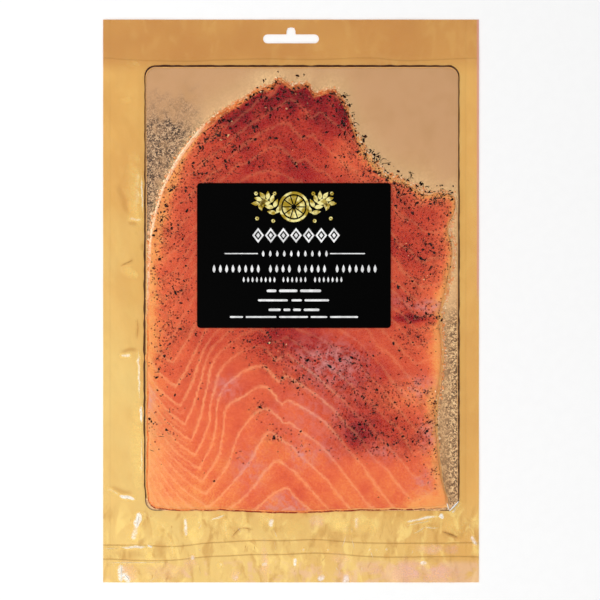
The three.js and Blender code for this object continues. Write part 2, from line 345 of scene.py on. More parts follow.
def linear(hex_colour: str) -> tuple[float, float, float, float]:
    """Turn an sRGB hex colour to the linear colour that a node takes."""
    shares = [int(hex_colour[start : start + 2], 16) / 255 for start in (1, 3, 5)]
    return (*[s / 12.92 if s <= 0.04045 else ((s + 0.055) / 1.055) ** 2.4 for s in shares], 1)


def add_node(
    tree: bpy.types.NodeTree,
    kind: str,
    inputs: dict[int | str, Any] | None = None,
    output: int | str = 0,
    **settings: Any,
) -> "Signal":
    """Add a node with its settings and links.

    Args:
        tree: The node tree.
        kind: The node's type, without the start that all have.
        inputs: A value, a hex colour or a signal for each input's name or number.
        output: The output to return.
        settings: The node's own properties.

    Returns:
        The chosen output, or the first input of a node that has none.
    """
    node = tree.nodes.new("ShaderNode" + kind)
    for name, value in settings.items():
        setattr(node, name, value)
    for place, value in (inputs or {}).items():
        if isinstance(value, Signal):
            tree.links.new(value.socket, node.inputs[place])
        else:
            node.inputs[place].default_value = linear(value) if isinstance(value, str) else value
    return Signal(node.outputs[output] if node.outputs else node.inputs[0])


class Signal:
    """A number or a colour that varies over a surface, worked out by a material's nodes."""

    def __init__(self, socket: bpy.types.NodeSocket) -> None:
        """Take hold of a node's output."""
        self.socket = socket
        self.tree = socket.id_data

    def step(self, how: str, *others: "Signal | float", **settings: Any) -> "Signal":
        """Work out one step of arithmetic on this number and others."""
        return add_node(self.tree, "Math", dict(enumerate((self, *others))), operation=how, **settings)

    def __add__(self, other: "Signal | float") -> "Signal":
        """Add a number."""
        return self.step("ADD", other)

    def __sub__(self, other: "Signal | float") -> "Signal":
        """Take a number away."""
        return self.step("SUBTRACT", other)

    def __mul__(self, other: "Signal | float") -> "Signal":
        """Multiply by a number."""
        return self.step("MULTIPLY", other)

    def spread(self, low: float, high: float, to_low: float, to_high: float) -> "Signal":
        """Take the number smoothly from one pair of limits to another."""
        inputs = dict(enumerate((self, low, high, to_low, to_high)))
        return add_node(self.tree, "MapRange", inputs, interpolation_type="SMOOTHSTEP")

    def between(self, first: "Signal | str", second: "Signal | str") -> "Signal":
        """Blend two colours by this share."""
        return add_node(self.tree, "Mix", {0: self, 6: first, 7: second}, 2, data_type="RGBA")

    def graded(self, *stops: tuple[float, str]) -> "Signal":
        """Turn the number into a colour.

        Args:
            stops: Numbers, and the colours that they stand for.

        Returns:
            The colour.
        """
        colour = add_node(self.tree, "ValToRGB", {0: self})
        elements = colour.socket.node.color_ramp.elements
        while len(elements) < len(stops):
            elements.new(0.5)
        for element, (place, hex_colour) in zip(elements, stops):
            element.position = place
            element.color = linear(hex_colour)
        return colour


class Finish:
    """A material whose nodes each kind of finish writes in its own way.

    The shares that it reads are stored on the points of the meshes that wear it.
    """

    name: str
    reads: tuple[str, ...] = ()
    shadow: bool = True

    def material(self) -> bpy.types.Material:
        """Give the finish's material, writing its nodes the first time.

        Returns:
            The material.
        """
        if self.name not in bpy.data.materials:
            bpy.data.materials.new(self.name).use_nodes = True
            self.tree.nodes.clear()
            for share in self.reads:
                self.add("Attribute", name=share, attribute_name=share)
            self.add("OutputMaterial", {"Surface": self.write()})
        return bpy.data.materials[self.name]

    @property
    def tree(self) -> bpy.types.NodeTree:
        """Give the nodes of the finish's material."""
        return bpy.data.materials[self.name].node_tree

    def read(self, share: str) -> Signal:
        """Read a share from the points of the mesh."""
        return Signal(self.tree.nodes[share].outputs["Fac"])

    def write(self) -> Signal:
        """Write the finish's nodes and return its shader."""
        raise NotImplementedError

    def add(self, kind: str, *links: Any, **settings: Any) -> Signal:
        """Add one of the finish's nodes, with what add_node takes after its kind."""
        return add_node(self.tree, kind, *links, **settings)

    def surface(
        self, colour: Signal, looks: dict[str, Any], height: Signal | None = None, relief: Point = (0.5, 0.3)
    ) -> Signal:
        """Add the shader of an opaque finish.

        Args:
            colour: Its colour.
            looks: The shader's other inputs.
            height: Its fine unevenness, if it has any.
            relief: How strong the unevenness is, and how deep in mm.

        Returns:
            The shader.
        """
        if height:
            bump = {"Height": height, "Strength": relief[0], "Distance": relief[1] * MM}
            looks = {**looks, "Normal": self.add("Bump", bump)}
        return self.add("BsdfPrincipled", {"Base Color": colour, **looks})

    def clouds(
        self, size: float, detail: float = 2, rough: float = 0.5, warp: float = 0, tall: float = 1
    ) -> Signal:
        """Spread cloudy unevenness, from about 0.3 to 0.7, over the piece.

        Args:
            size: The clouds' size in mm.
            detail: How many finer octaves they have.
            rough: How strong each finer octave is.
            warp: How much they are drawn out of shape.
            tall: How many times as long they are as wide.

        Returns:
            The unevenness.
        """
        place = self.add("TexCoord", output="Object")
        place = self.add("VectorMath", {0: place, 1: (1, 1 / tall, 1)}, operation="MULTIPLY")
        names = ("Vector", "Scale", "Detail", "Roughness", "Distortion")
        return self.add("TexNoise", dict(zip(names, (place, 1 / (size * MM), detail, rough, warp))))


# Light goes in under the face of wet flesh and comes out redder, and its face hardly mirrors
# under the film.
WET_FLESH = {
    "Specular IOR Level": 0.06,
    "Subsurface Weight": 0.12,
    "Subsurface Radius": (1, 0.38, 0.22),
    "Subsurface Scale": 0.0018,
}


@dataclass(frozen=True)
class CuredFlesh(Finish):
    """Cold-smoked salmon, cut with a long knife: wet, translucent muscle between fat seams.

    The depth of the cure sets the colour, from golden orange at the trimmed rims through
    coral to crimson under the spice crust. The fat seams are pale and a little sunk, fine
    pepper dust stains the crust, and thin membranes give a lilac bloom.
    """

    name: str = "cold_smoked_salmon_flesh"
    reads: tuple[str, ...] = ("tone", "flake", "pitch", "fat", "minor", "bloom", "spice")
    fat_width: float = 0.9
    fat_halo: float = 2.8

    def write(self) -> Signal:
        """Write the flesh's nodes.

        Returns:
            The shader.
        """
        read, cloud, grain = self.read, self.clouds(7, 3, 0.6, 0.3), self.clouds(1.1, 2, 0.7)
        tone = read("tone") + cloud.spread(0.3, 0.7, -0.05, 0.05) + grain.spread(0.3, 0.7, -0.075, 0.075)
        pale = ((0, "#f0a45e"), (0.14, "#eb894f"), (0.3, "#e26e46"))
        deep = ((0.5, "#d25a3b"), (0.66, "#c4432e"), (0.82, "#aa2624"), (1, "#8c081c"))
        colour = tone.graded(*pale, *deep)
        level = read("flake") + self.clouds(2.4, 3, 0.65).spread(0.3, 0.7, -0.42, 0.42) * read("pitch")
        # Painted shade: each flake is drawn darker towards the next seam, as the shade of the step at the
        # seam.
        shade = level.step("FRACT").spread(0, 1, 0, 0.22) * read("fat")
        seam = self.seam(level)
        fat = read("bloom").between("#f4b078", "#e2aba0")
        colour = seam.between(shade.between(colour, "#c9412c"), fat)
        membrane = self.clouds(4, 4, 0.65, 0.6).spread(0.36, 0.66, 0, 0.85) * read("bloom")
        colour = self.spiced(membrane.between(colour, "#d49490"))
        height = (grain + self.clouds(0.45, 1) * 0.5) * 0.6 - seam * 0.5
        return self.surface(colour, {**WET_FLESH, "Roughness": cloud.spread(0.3, 0.7, 0.3, 0.46)}, height)

    def seam(self, level: Signal) -> Signal:
        """Work out how much fat shows.

        Args:
            level: The field of levels, with a seam wherever it crosses a whole one.

        Returns:
            The fat's share, from 0 to 1.
        """
        width = self.clouds(5, 3, 0.6).spread(0.3, 0.7, self.fat_width * 0.8, self.fat_width * 1.5)
        seam = self.line(level, width) + self.line(level + 0.5, width) * self.read("minor")
        seam = seam * self.clouds(3, 3, 0.7).spread(0.3, 0.62, 0.5, 1.1)
        return seam.step("MULTIPLY", self.read("fat"), use_clamp=True)

    def line(self, level: Signal, width: Signal) -> Signal:
        """Draw a soft line, of a width in mm, wherever a field crosses a whole level."""
        away = level.step("PINGPONG", 0.5).step("DIVIDE", self.read("pitch").step("MAXIMUM", 0.02))
        return away.step("DIVIDE", width).spread(0, 1.2, 0.5, 0) + away.spread(0, self.fat_halo, 0.1, 0)

    def spiced(self, colour: Signal) -> Signal:
        """Stain the flesh brown under the crust and strew it with pepper dust.

        Args:
            colour: The flesh's own colour.

        Returns:
            The stained colour.
        """
        amount = self.read("spice")
        colour = (amount * self.clouds(3, 4, 0.7).spread(0.42, 0.7, 0, 0.42)).between(colour, "#6a1a14")
        place = self.add("TexCoord", output="Object")
        for size, share, dust in ((2.1, 0.9, "#7c1c16"), (1.5, 0.6, "#220b09")):
            cells = {"Vector": place, "Scale": 1 / (size * MM), "Randomness": 1}
            speck = self.add("TexVoronoi", cells, "Distance").spread(0.2, 0.32, 0.8, 0)
            kind = self.add("SeparateColor", {"Color": self.add("TexVoronoi", cells, "Color")})
            colour = (speck * kind.step("LESS_THAN", amount * share)).between(colour, dust)
        return colour


@dataclass(frozen=True)
class TrimmedRim(Finish):
    """The lower slices where they show: fatty, golden orange flesh with cream at the cut, brightened with
    painted light, and a painted shadow line at the foot.
    """

    name: str = "golden_salmon_rim"
    reads: tuple[str, ...] = ("tone", "crust", "skin")

    def write(self) -> Signal:
        """Write the rim's nodes.

        Returns:
            The shader.
        """
        tone = self.read("tone") + self.clouds(3.2, 3, 0.6, 0.4).spread(0.3, 0.7, -0.2, 0.2)
        colour = tone.graded((0, "#f8bd78"), (0.35, "#f3924f"), (0.7, "#e6703c"), (1, "#c94a30"))
        # crust is the torn crest's real crust, and at the foot of the bottom slice a painted shadow line.
        crust = self.read("crust") * self.clouds(5, 3, 0.6).spread(0.4, 0.6, 0.15, 1)
        gold = self.clouds(1.1, 2, 0.6).spread(0.52, 0.66, 0, 0.45)
        # Painted highlight and painted light on the rim's cream skin: brightened where the film would glint
        # and where the rim faces away from the lamps.
        skin = self.read("skin") * self.clouds(1.2, 3, 0.65, 0.5).spread(0.38, 0.52, 0.3, 1)
        colour = gold.between(crust.between(colour, "#8c281c"), "#ffd694")
        colour = skin.between(colour, "#ffefcc")
        return self.surface(colour, {**WET_FLESH, "Roughness": 0.36}, self.clouds(0.9, 3, 0.6), (0.4, 0.3))


@dataclass(frozen=True)
class PlainCoat(Finish):
    """A finish that only wavers between two colours, over clouds or from bit to bit."""

    name: str
    dark: str
    light: str
    roughness: float
    gloss: float
    size: float = 0.5
    sway: float = 0.2
    reads: tuple[str, ...] = ()
    shadow: bool = True
    metallic: float = 0
    grain: float = 0

    def write(self) -> Signal:
        """Write the coat's nodes.

        Returns:
            The shader.
        """
        cloud = self.clouds(self.size, 2)
        middle = 0 if self.reads else 0.5
        mottle = cloud.spread(0.3, 0.7, middle - self.sway, middle + self.sway)
        for share in self.reads:
            mottle = mottle + self.read(share)
        looks = {"Roughness": self.roughness, "Specular IOR Level": self.gloss, "Metallic": self.metallic}
        colour = mottle.between(self.dark, self.light)
        return self.surface(colour, looks, cloud if self.grain else None, (self.grain, 0.1))


# Dried and cracked, so matt: each bit of its own shade, oily-dark or pale.
SPICE = {"gloss": 0.04, "reads": ("shade",)}
PEPPER = PlainCoat("cracked_black_pepper", "#0a0504", "#3a1a14", 0.55, **SPICE)
LEMON_ZEST = PlainCoat("dried_lemon_zest", "#c88a54", "#eecb98", 0.5, **SPICE)
DILL = PlainCoat("dried_dill", "#12110a", "#3a3222", 0.55, **SPICE)
FISH_CRUMBS = PlainCoat("golden_fish_crumbs", "#ee9a58", "#ffebc4", 0.4, **SPICE)
# Painted glints and shadows of the film's folds and of its crease round the board, as thin bars: paler the
# stronger a glint, darker the stronger a shadow.
CREASE = {"roughness": 0.35, "gloss": 0.2, "size": 2.2, "reads": ("broad",), "shadow": False}
DEEP_CREASE = PlainCoat("film_crease_deep", "#321409", "#5a2e1c", **CREASE)
GOLD_CREASE = PlainCoat("film_crease_gold", "#e3a75e", "#f2c27c", **CREASE)
WHITE_CREASE = PlainCoat("film_crease_white", "#ecc878", "#fffdf6", **CREASE)
OILY_CREASE = PlainCoat("film_crease_oily", "#dcae62", "#8a5c2c", **CREASE)
# Printed stock with a satin black flood coat and a faint fibre under it.
LABEL_STOCK = PlainCoat("satin_black_label_stock", "#010101", "#030303", 0.5, 0.02, 0.8, 0.5, grain=0.15)
# Inks with a little body: gold bronze powder, and opaque white.
GOLD_INK = PlainCoat("gold_bronze_ink", "#a68a1e", "#f2e79a", 0.45, 0.2, 3.4, 0.8, metallic=0.1)
WHITE_INK = PlainCoat("opaque_white_ink", "#d8d8d8", "#f2f2f2", 0.45, 0.2, 3.4, 0.8)
# A roll of matt background paper with the faintest tooth.
STUDIO_PAPER = PlainCoat("white_background_paper", "#fcfcfc", "#ffffff", 0.9, 0.1, 6, 0.2)


@dataclass(frozen=True)
class GoldLaminate(Finish):
    """Metallised polyester with a gold lacquer, heat sealed: soft metal gloss, faint ripples.

    The lacquer is thicker and browner towards the header and thinner, so yellower, towards the lower
    left; part of this change is painted light, lighter towards the lamps at the lower left. The seals'
    bars are pressed into it, and their grooves are darkened with painted shade.
    """

    name: str = "gold_lacquered_laminate"
    seal_rows: tuple[float, ...] = (138.4, -137.4, -145.3)
    seal_columns: tuple[float, ...] = (-103.4, 100.2)

    def write(self) -> Signal:
        """Write the laminate's nodes.

        Returns:
            The shader.
        """
        place = self.add("TexCoord", output="Object")
        across, along = (self.add("SeparateXYZ", {0: place}, axis) for axis in ("X", "Y"))
        # Painted light, along with the lacquer's own change: lighter and yellower towards the lower left,
        # where the lamps stand, browner towards the header.
        thick = (along + across * 0.9).spread(-0.19, 0.03, 0, 0.5) + along.spread(0.128, 0.141, 0, 0.42)
        thick = thick + self.clouds(38, 2).spread(0.3, 0.7, -0.1, 0.1)
        colour = thick.graded((0, "#f2cf80"), (0.45, "#e8b564"), (1, "#cf934e"))
        loose = along.spread(-0.112, -0.126, 0.1, 1)
        lines = self.lines(across, along)
        lip = along.spread(-0.1475, -0.151, 0, 1)
        edge = across.spread(0.1061, 0.1066, 0, 1)
        # On the loose foot, darker and paler yellow blotches are painted shade and painted highlight of the
        # film's slack. The seals' pressed grooves get painted shade, the lip a painted pink sheen and the
        # upper right edge a painted pink highlight.
        for share, tint in (
            (loose * self.clouds(7, 3, 0.55, 0.8, 2.2).spread(0.48, 0.68, 0, 0.6), "#cf9c50"),
            (loose * self.clouds(8, 3, 0.5, 1, 1.8).spread(0.5, 0.66, 0, 0.75), "#ffe08c"),
            (lines * 0.55, "#a4722c"),
            (lip * (self.clouds(9, 3, 0.6, 0.5) + across * 1.6).spread(0.46, 0.64, 0, 0.6), "#f2c6a4"),
            (edge * along.spread(-0.005, 0.012, 0, 0.7), "#dc9c96"),
        ):
            colour = share.between(colour, tint)
        fine = self.clouds(1.6, 3, 0.6)
        height = fine * 0.16 + self.clouds(11, 2, 0.5, 0.4) * 0.9 - lines * 0.4
        looks = {"Metallic": 0.75, "Roughness": fine.spread(0.3, 0.7, 0.35, 0.46)}
        return self.surface(colour, looks, height, (0.6, 0.4))

    def lines(self, across: Signal, along: Signal) -> Signal:
        """Draw the seals' lines.

        Args:
            across: The place's x in metres.
            along: The place's y in metres.

        Returns:
            How close a place is to the middle of a line, from 0 to 1.
        """
        waver = self.clouds(55, 1).spread(0.3, 0.7, -0.0012, 0.0012)
        sunk = across.spread(-0.1, 0.02, 0.0028, 0) * along.spread(0, -0.1, 0, 1)
        rows = along + (waver + sunk)
        drawn = [(rows, line, 1 if line < 0 else 0.5) for line in self.seal_rows]
        drawn += [(across, line, 0.16) for line in self.seal_columns]
        parts = [(way - line * MM).step("ABSOLUTE").spread(0, 0.0007, depth, 0) for way, line, depth in drawn]
        return reduce(Signal.__add__, parts)


@dataclass(frozen=True)
class GoldCard(Finish):
    """Coated card with a satin gold face: matt and tan where dry, oily and grained at rims.

    The die-cut edge is dark brown, its dark band widened with painted shade of the film's crease.
    Close to the flesh the oily face turns golden, and painted light brightens it beside the slices, where
    their shadow falls, and draws a cream line by the left rim. Where the film sticks to the oily face,
    fine wrinkles get painted shade in their hollows and painted highlights on their crests.
    """

    name: str = "satin_gold_card"
    reads: tuple[str, ...] = ("oily", "pearl", "halo", "rim")
    wrinkle: float = 1.15

    def write(self) -> Signal:
        """Write the card's nodes.

        Returns:
            The shader.
        """
        oily, pearl = self.read("oily"), self.read("pearl")
        blotch, fine = self.clouds(14, 3, 0.6), self.clouds(self.wrinkle, 2, 0.75, 1.2)
        coarse = self.clouds(1.65 * self.wrinkle, 2, 0.6, 1.6)
        colour = blotch.spread(0.4, 0.75, 0, 0.4).between("#cb9f71", "#bd905a")
        colour = (oily * 0.8).between(colour, "#a68060")
        # The film's wrinkles where it sticks to the oily face: painted shade in their hollows, painted
        # highlights on their crests.
        for where, worms, dark, bright in (
            (oily, fine, "#32231a", "#e6c49a"),
            (pearl, coarse, "#6c5238", "#fbdca6"),
        ):
            colour = (where * worms.spread(0.51, 0.46, 0, 0.95)).between(colour, dark)
            colour = (where * worms.spread(0.53, 0.6, 0, 0.8)).between(colour, bright)
        drip = self.clouds(1.3, 2, 0.6, 0.8).spread(0.35, 0.65, 0.55, 1)
        # Painted light on top of the oily face's own golden tint: brighter where the slices' shadow falls on
        # the board, and a cream line by the left rim.
        colour = (self.read("halo") * drip).between(colour, "#fbd49a")
        # The dark band along the die-cut edge: the cut edge's own brown, widened with painted shade of the
        # film's crease.
        colour = self.read("rim").spread(0.45, 0.75, 0, 0.8).between(colour, "#4a2716")
        height = fine * oily + coarse * pearl + blotch * 0.3
        looks = {"Metallic": 0.25, "Roughness": oily.spread(0, 1, 0.55, 0.4)}
        return self.surface(colour, looks, height, (0.6, 0.25))


@dataclass(frozen=True)
class ClearFilm(Finish):
    """Clear polyamide film drawn tight by the vacuum: see-through, with white glints.

    It wets the flesh, so that it reflects less than film in air: its index is set low. Where its folds
    would catch the light it carries a painted highlight, golden where faint and white where strong and
    pink in places; where they would face away it is tinted brown with painted shade.
    """

    name: str = "clear_vacuum_film"
    reads: tuple[str, ...] = ("haze", "shade", "blush", "cling")
    shadow: bool = False
    index: float = 1.24

    def write(self) -> Signal:
        """Write the film's nodes.

        Returns:
            The shader.
        """
        haze, white = self.read("haze"), (1, 1, 1, 1)
        height = self.clouds(2.6, 3, 0.55) + self.clouds(9, 1) * 1.6
        bump = self.add("Bump", {"Height": height, "Strength": 0.35, "Distance": 0.35 * MM})
        # Painted shade: the film is tinted brown where its folds would face away from the light.
        oil = self.read("shade").between("#fffefd", "#b98a52")
        clear = self.add("BsdfTransparent", {"Color": oil})
        gloss = self.add("BsdfGlossy", {"Color": white, "Roughness": 0.1, "Normal": bump}, distribution="GGX")
        share = self.add("Fresnel", {"IOR": self.index, "Normal": bump})
        share = share * self.read("cling").spread(0, 1, 1, 0.15)
        tight = self.add("MixShader", {0: share, 1: clear, 2: gloss})
        # Painted highlight: a pale diffuse layer, golden where faint and white where strong, tinted by a
        # painted pink sheen.
        tint = haze.spread(0.35, 0.75, 0, 1).between("#ffe98f", "#fffdf0")
        tint = self.read("blush").between(tint, "#f4c6c2")
        milky = self.add("BsdfDiffuse", {"Color": tint, "Normal": bump})
        crumple = self.clouds(2.2, 4, 0.65, 0.8).spread(0.38, 0.6, 0.45, 1)
        haze = haze.step("MULTIPLY", crumple, use_clamp=True)
        return self.add("MixShader", {0: haze, 1: tight, 2: milky})


# ---- The stack's edge ----


class Layer(Enum):
    """The three slices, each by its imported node's name."""

    BOTTOM = "salmon_slice_bottom"
    MIDDLE = "salmon_slice_middle"
    TOP = "salmon_slice_top"


@dataclass
class StackEdge:
    """The slices' outlines, as distances from the stack's centre in each direction."""

    nodes: dict[str, Piece]
    nose_heights: tuple[float, ...] = (2.6, 4.6, 6.55)
    height_slack: float = 0.02
    torn_from: float = 0.6
    torn_to: float = 2.62
    outlines: dict[Layer, Pair] = field(default_factory=dict)

    def __post_init__(self) -> None:
        """Read each slice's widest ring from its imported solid."""
        for layer, height in zip(Layer, self.nose_heights):
            x, y, z = read_points(self.nodes[layer.value])
            widest = np.abs(z - height) < self.height_slack
            angle, radius = polar(x[widest], y[widest])
            angle, first = np.unique(np.round(angle, 5), return_index=True)
            self.outlines[layer] = (angle, radius[first])

    def torn(self, angle: Array) -> Array:
        """Tell how torn the edge is in each direction, from 0 to 1."""
        rise = ramp(angle, self.torn_from - 0.1, self.torn_from + 0.1)
        return rise * ramp(angle, self.torn_to + 0.1, self.torn_to - 0.1)

    def radius(self, layer: Layer, angle: Array) -> Array:
        """Give the distance of a slice's edge from the stack's centre in each direction."""
        known_angle, known_radius = self.outlines[layer]
        return np.interp(angle % FULL_TURN, known_angle, known_radius, period=FULL_TURN)

    def ragged(self, layer: Layer, angle: Array) -> list[Array]:
        """Give a slice's edge as radius does, with the fine tears, lumps and nicks of the cut.

        Args:
            layer: The slice.
            angle: Directions from the stack's centre.

        Returns:
            The one outline that ring_grid asks for.
        """
        radius = self.radius(layer, angle)
        x, y = at_polar(angle, radius)
        seed = 10 * (list(Layer).index(layer) + 1)
        lumps = 0.5 * Swell(seed, 7, 30).at(x, y) + 0.4 * Swell(seed + 1, 3.4, 30).at(x, y)
        depth = self.torn(angle) * (0.15 + 0.75 * ramp(angle, 2, 1.85))
        tears = 0.3 * Swell(seed + 2, 1.7, 30).at(x, y) * depth
        return [radius + lumps * (0.16 + depth) + tears - 0.1]

    def inset(self, x: Array, y: Array, layer: Layer = Layer.TOP) -> Array:
        """Give how far places lie inside a slice's edge; negative outside it."""
        angle, radius = polar(x, y)
        return self.radius(layer, angle) - radius


# ---- Flakes and cure of the flesh ----


# The fat seams by their levels. Their landmarks run from left to right: the valley, two places
# up the limb, the shoulder, the ridge, the notch, the step after it, two places down the far
# limb, the far valley and the end.
FAT_LINES: dict[int, tuple[Point, ...]] = {
    -9: ((-80.7, 54.9), (-56.1, 73.8), (-37.8, 88.7), (-18.9, 103.5), (0, 115), (11.4, 104.1),
        (16.6, 108.1), (34.9, 92.1), (57.8, 70.4), (76.1, 54.9), (93.8, 58.9)),
    -6: ((-76.1, 18.9), (-57.8, 37.8), (-43.5, 54.9), (-29.2, 68.1), (-10.9, 74.4), (0.6, 66.9),
        (5.1, 68.6), (30.9, 45.2), (58.3, 22.3), (74.4, 7.4), (92.1, 13.2)),
    -3: ((-69.2, -8.6), (-61.2, 6.3), (-53.2, 18.9), (-39.5, 31.5), (-16.6, 41.8), (-5.1, 34.3),
        (1.1, 37.2), (32, 16.6), (58.9, -4), (72.6, -16.6), (90.9, -10.9)),
    0: ((-65.5, -48.6), (-60.6, -40.6), (-54.9, -29.2), (-45.2, -12), (-21.2, 8.6), (-9.7, 1.1),
        (-2.3, 3.4), (34.9, -9.7), (54.3, -29.2), (70.9, -47.5), (89.8, -39.5)),
    4: ((-54.3, -88.1), (-47.5, -70.9), (-44.6, -52.1), (-37.8, -36), (-18.9, -25.7), (-8.6, -33.7),
        (-2.3, -30.3), (22.3, -49.8), (58.3, -85.2), (70.4, -101.2), (88.7, -92.1)),
    6: ((-50.3, -103), (-40.6, -86.4), (-37.2, -63.5), (-29.7, -55.5), (-15.4, -48.9), (-5.1, -58.9),
        (-1.7, -56.1), (21.7, -71.5), (54.3, -112.7), (69.2, -127.6), (89.8, -113.8)),
    8: ((-47.5, -117.5), (-34.3, -105.2), (-24, -92.1), (-17.2, -80.1), (-12, -74.9), (-3.4, -80.7),
        (0.6, -82.9), (17.2, -99), (34.9, -120.1), (62.3, -152.7), (90.9, -136.7)),
    10: ((-42.9, -134.4), (-30.3, -127.6), (-20.6, -119), (-11.4, -111), (-2.9, -106.4), (0, -108.7),
        (3.4, -112.7), (8, -116.7), (12, -120.7), (45.2, -165.3), (90.9, -159.6)),
    13: ((-36, -162.4), (-23.5, -153.9), (-13.2, -145.9), (-5.1, -139.6), (2.9, -135.6), (5.1, -137.3),
        (8, -139.6), (13.7, -145.9), (19.4, -152.7), (50.9, -193.9), (90.9, -188.2)),
}


@dataclass
class FlakePattern:
    """The chevrons of fat that part the muscle's flakes, as a field of levels.

    A seam lies wherever the field crosses a whole level. Seams between the given ones are
    worked out from their neighbours' landmarks, and left of its valley a seam climbs ever
    more steeply towards the belly edge.
    """

    belly_edge: float = -84
    climb: float = 0.62
    cell: float = 0.4
    low: Point = (-84, -123)
    high: Point = (97, 130)
    kinks: tuple[int, ...] = (0, 5, 6, 9)
    waver: float = 0.3
    levels: Array = field(init=False)
    pitch: Array = field(init=False)

    def __post_init__(self) -> None:
        """Work out the field of levels and how fast it changes, on a fine grid."""
        columns = np.arange(self.low[0], self.high[0], self.cell)
        rows = np.arange(self.low[1], self.high[1], self.cell)
        whole = np.arange(min(FAT_LINES) - 3, max(FAT_LINES) + 1)
        heights = np.array([self.height(level, columns) for level in whole])
        heights = np.minimum.accumulate(heights - 1e-3 * np.arange(len(whole))[:, None], axis=0)
        self.levels = np.array([np.interp(-rows, -column, whole) for column in heights.T])
        steps = np.gradient(self.levels, self.cell)
        self.pitch = np.hypot(*steps)
        for _ in range(2):
            padded = np.pad(self.pitch, 1, mode="edge")
            self.pitch = (padded[:-2, 1:-1] + padded[2:, 1:-1] + padded[1:-1, :-2] + padded[1:-1, 2:]) / 4

    def landmarks(self, level: float) -> Array:
        """Work out a seam's landmarks from those of the given seams.

        Args:
            level: The seam's level.

        Returns:
            Its landmarks, one row each.
        """
        known, marks = np.array([*FAT_LINES], float), np.array([*FAT_LINES.values()])
        i = int(np.clip(np.searchsorted(known, level, side="right") - 1, 0, len(known) - 2))
        span = known[i + 1] - known[i]
        share = (level - known[i]) / span
        if share < 0:
            return marks[0] + share * (marks[1] - marks[0])
        slopes = span * share * (1 - share) * np.gradient(marks, known, axis=0)
        blend = share * share * (3 - 2 * share)
        along = (1 - blend) * marks[i] + blend * marks[i + 1]
        return along + (1 - share) * slopes[i] - share * slopes[i + 1]

    def height(self, level: float, columns: Array) -> Array:
        """Trace one seam.

        Args:
            level: The seam's level.
            columns: The x at which its height is wanted.

        Returns:
            The seam's y at each x.
        """
        marks = self.landmarks(level)
        ends = [*self.kinks, len(marks) - 1]
        traced = [self.curve(marks[a : b + 1]) for a, b in zip(ends, ends[1:])]
        path = np.vstack(traced)
        path[:, 0] = np.maximum.accumulate(path[:, 0]) + 1e-5 * np.arange(len(path))
        y = np.interp(columns, path[:, 0], path[:, 1])
        valley_x, valley_y = marks[0]
        room = 1.25 * (valley_x - self.belly_edge)
        if room > 1:
            back = np.clip((valley_x - columns) / room, 0, 0.97)
            y = np.where(columns < valley_x, valley_y - self.climb * room * np.log(1 - back), y)
        return y

    @staticmethod
    def curve(marks: Array, fineness: int = 10) -> Array:
        """Draw a smooth curve through landmarks, free at both ends.

        Args:
            marks: The landmarks, one row each.
            fineness: The number of points from one landmark to the next.

        Returns:
            The curve's points, one row each.
        """
        if len(marks) < 3:
            return marks
        knots = np.vstack([2 * marks[0] - marks[1], marks, 2 * marks[-1] - marks[-2]])
        powers = np.linspace(0, 1, fineness, endpoint=False)[:, None] ** np.arange(4)
        blend = np.array([[0, 2, 0, 0], [-1, 0, 1, 0], [2, -5, 4, -1], [-1, 3, -3, 1]]) / 2
        stretches = [powers @ blend @ knots[i : i + 4] for i in range(len(marks) - 1)]
        return np.vstack([*stretches, marks[-1:]])

    def sample(self, x: Array, y: Array) -> Pair:
        """Read the field at places.

        Args:
            x, y: Places in mm.

        Returns:
            The level, and its change per mm, at each place.
        """
        loose = self.waver * (1 + 1.6 * ramp(x, 10, 60) + 2.6 * ramp(y, -20, 40))
        warped_x = x + loose * Swell(71, 19).at(x, y)
        warped_y = y + loose * Swell(72, 17).at(x, y)
        column = np.clip((warped_x - self.low[0]) / self.cell, 0, self.levels.shape[0] - 1.001)
        row = np.clip((warped_y - self.low[1]) / self.cell, 0, self.levels.shape[1] - 1.001)
        i, j = column.astype(int), row.astype(int)
        u, v = column - i, row - j
        read = []
        for grid in (self.levels, self.pitch):
            near = grid[i, j] * (1 - v) + grid[i, j + 1] * v
            far = grid[i + 1, j] * (1 - v) + grid[i + 1, j + 1] * v
            read.append(near * (1 - u) + far * u)
        return read[0], read[1]

    @staticmethod
    def fatness(x: Array, y: Array) -> Array:
        """Tell how plainly the seams show: most in the clean lower part, least under spice.

        Args:
            x, y: Places in mm.

        Returns:
            The share at each place, from 0 to 1.
        """
        lower_left = ramp(y, -20, -42) * ramp(x, 52, 12)
        left_limb = 0.9 * blob(x, y, (-58, -50), (28, 40))
        lower_right = 0.85 * ramp(y, -70, -104) * ramp(x, 84, 62)
        upper = 0.3 * ramp(y, 40, 70) * ramp(x, 60, 30)
        right = 0.36 * ramp(x, 36, 60) * ramp(y, 60, 40)
        everywhere = np.full_like(x, 0.26)
        return np.maximum.reduce([lower_left, left_limb, lower_right, upper, right, everywhere]).clip(0, 1)


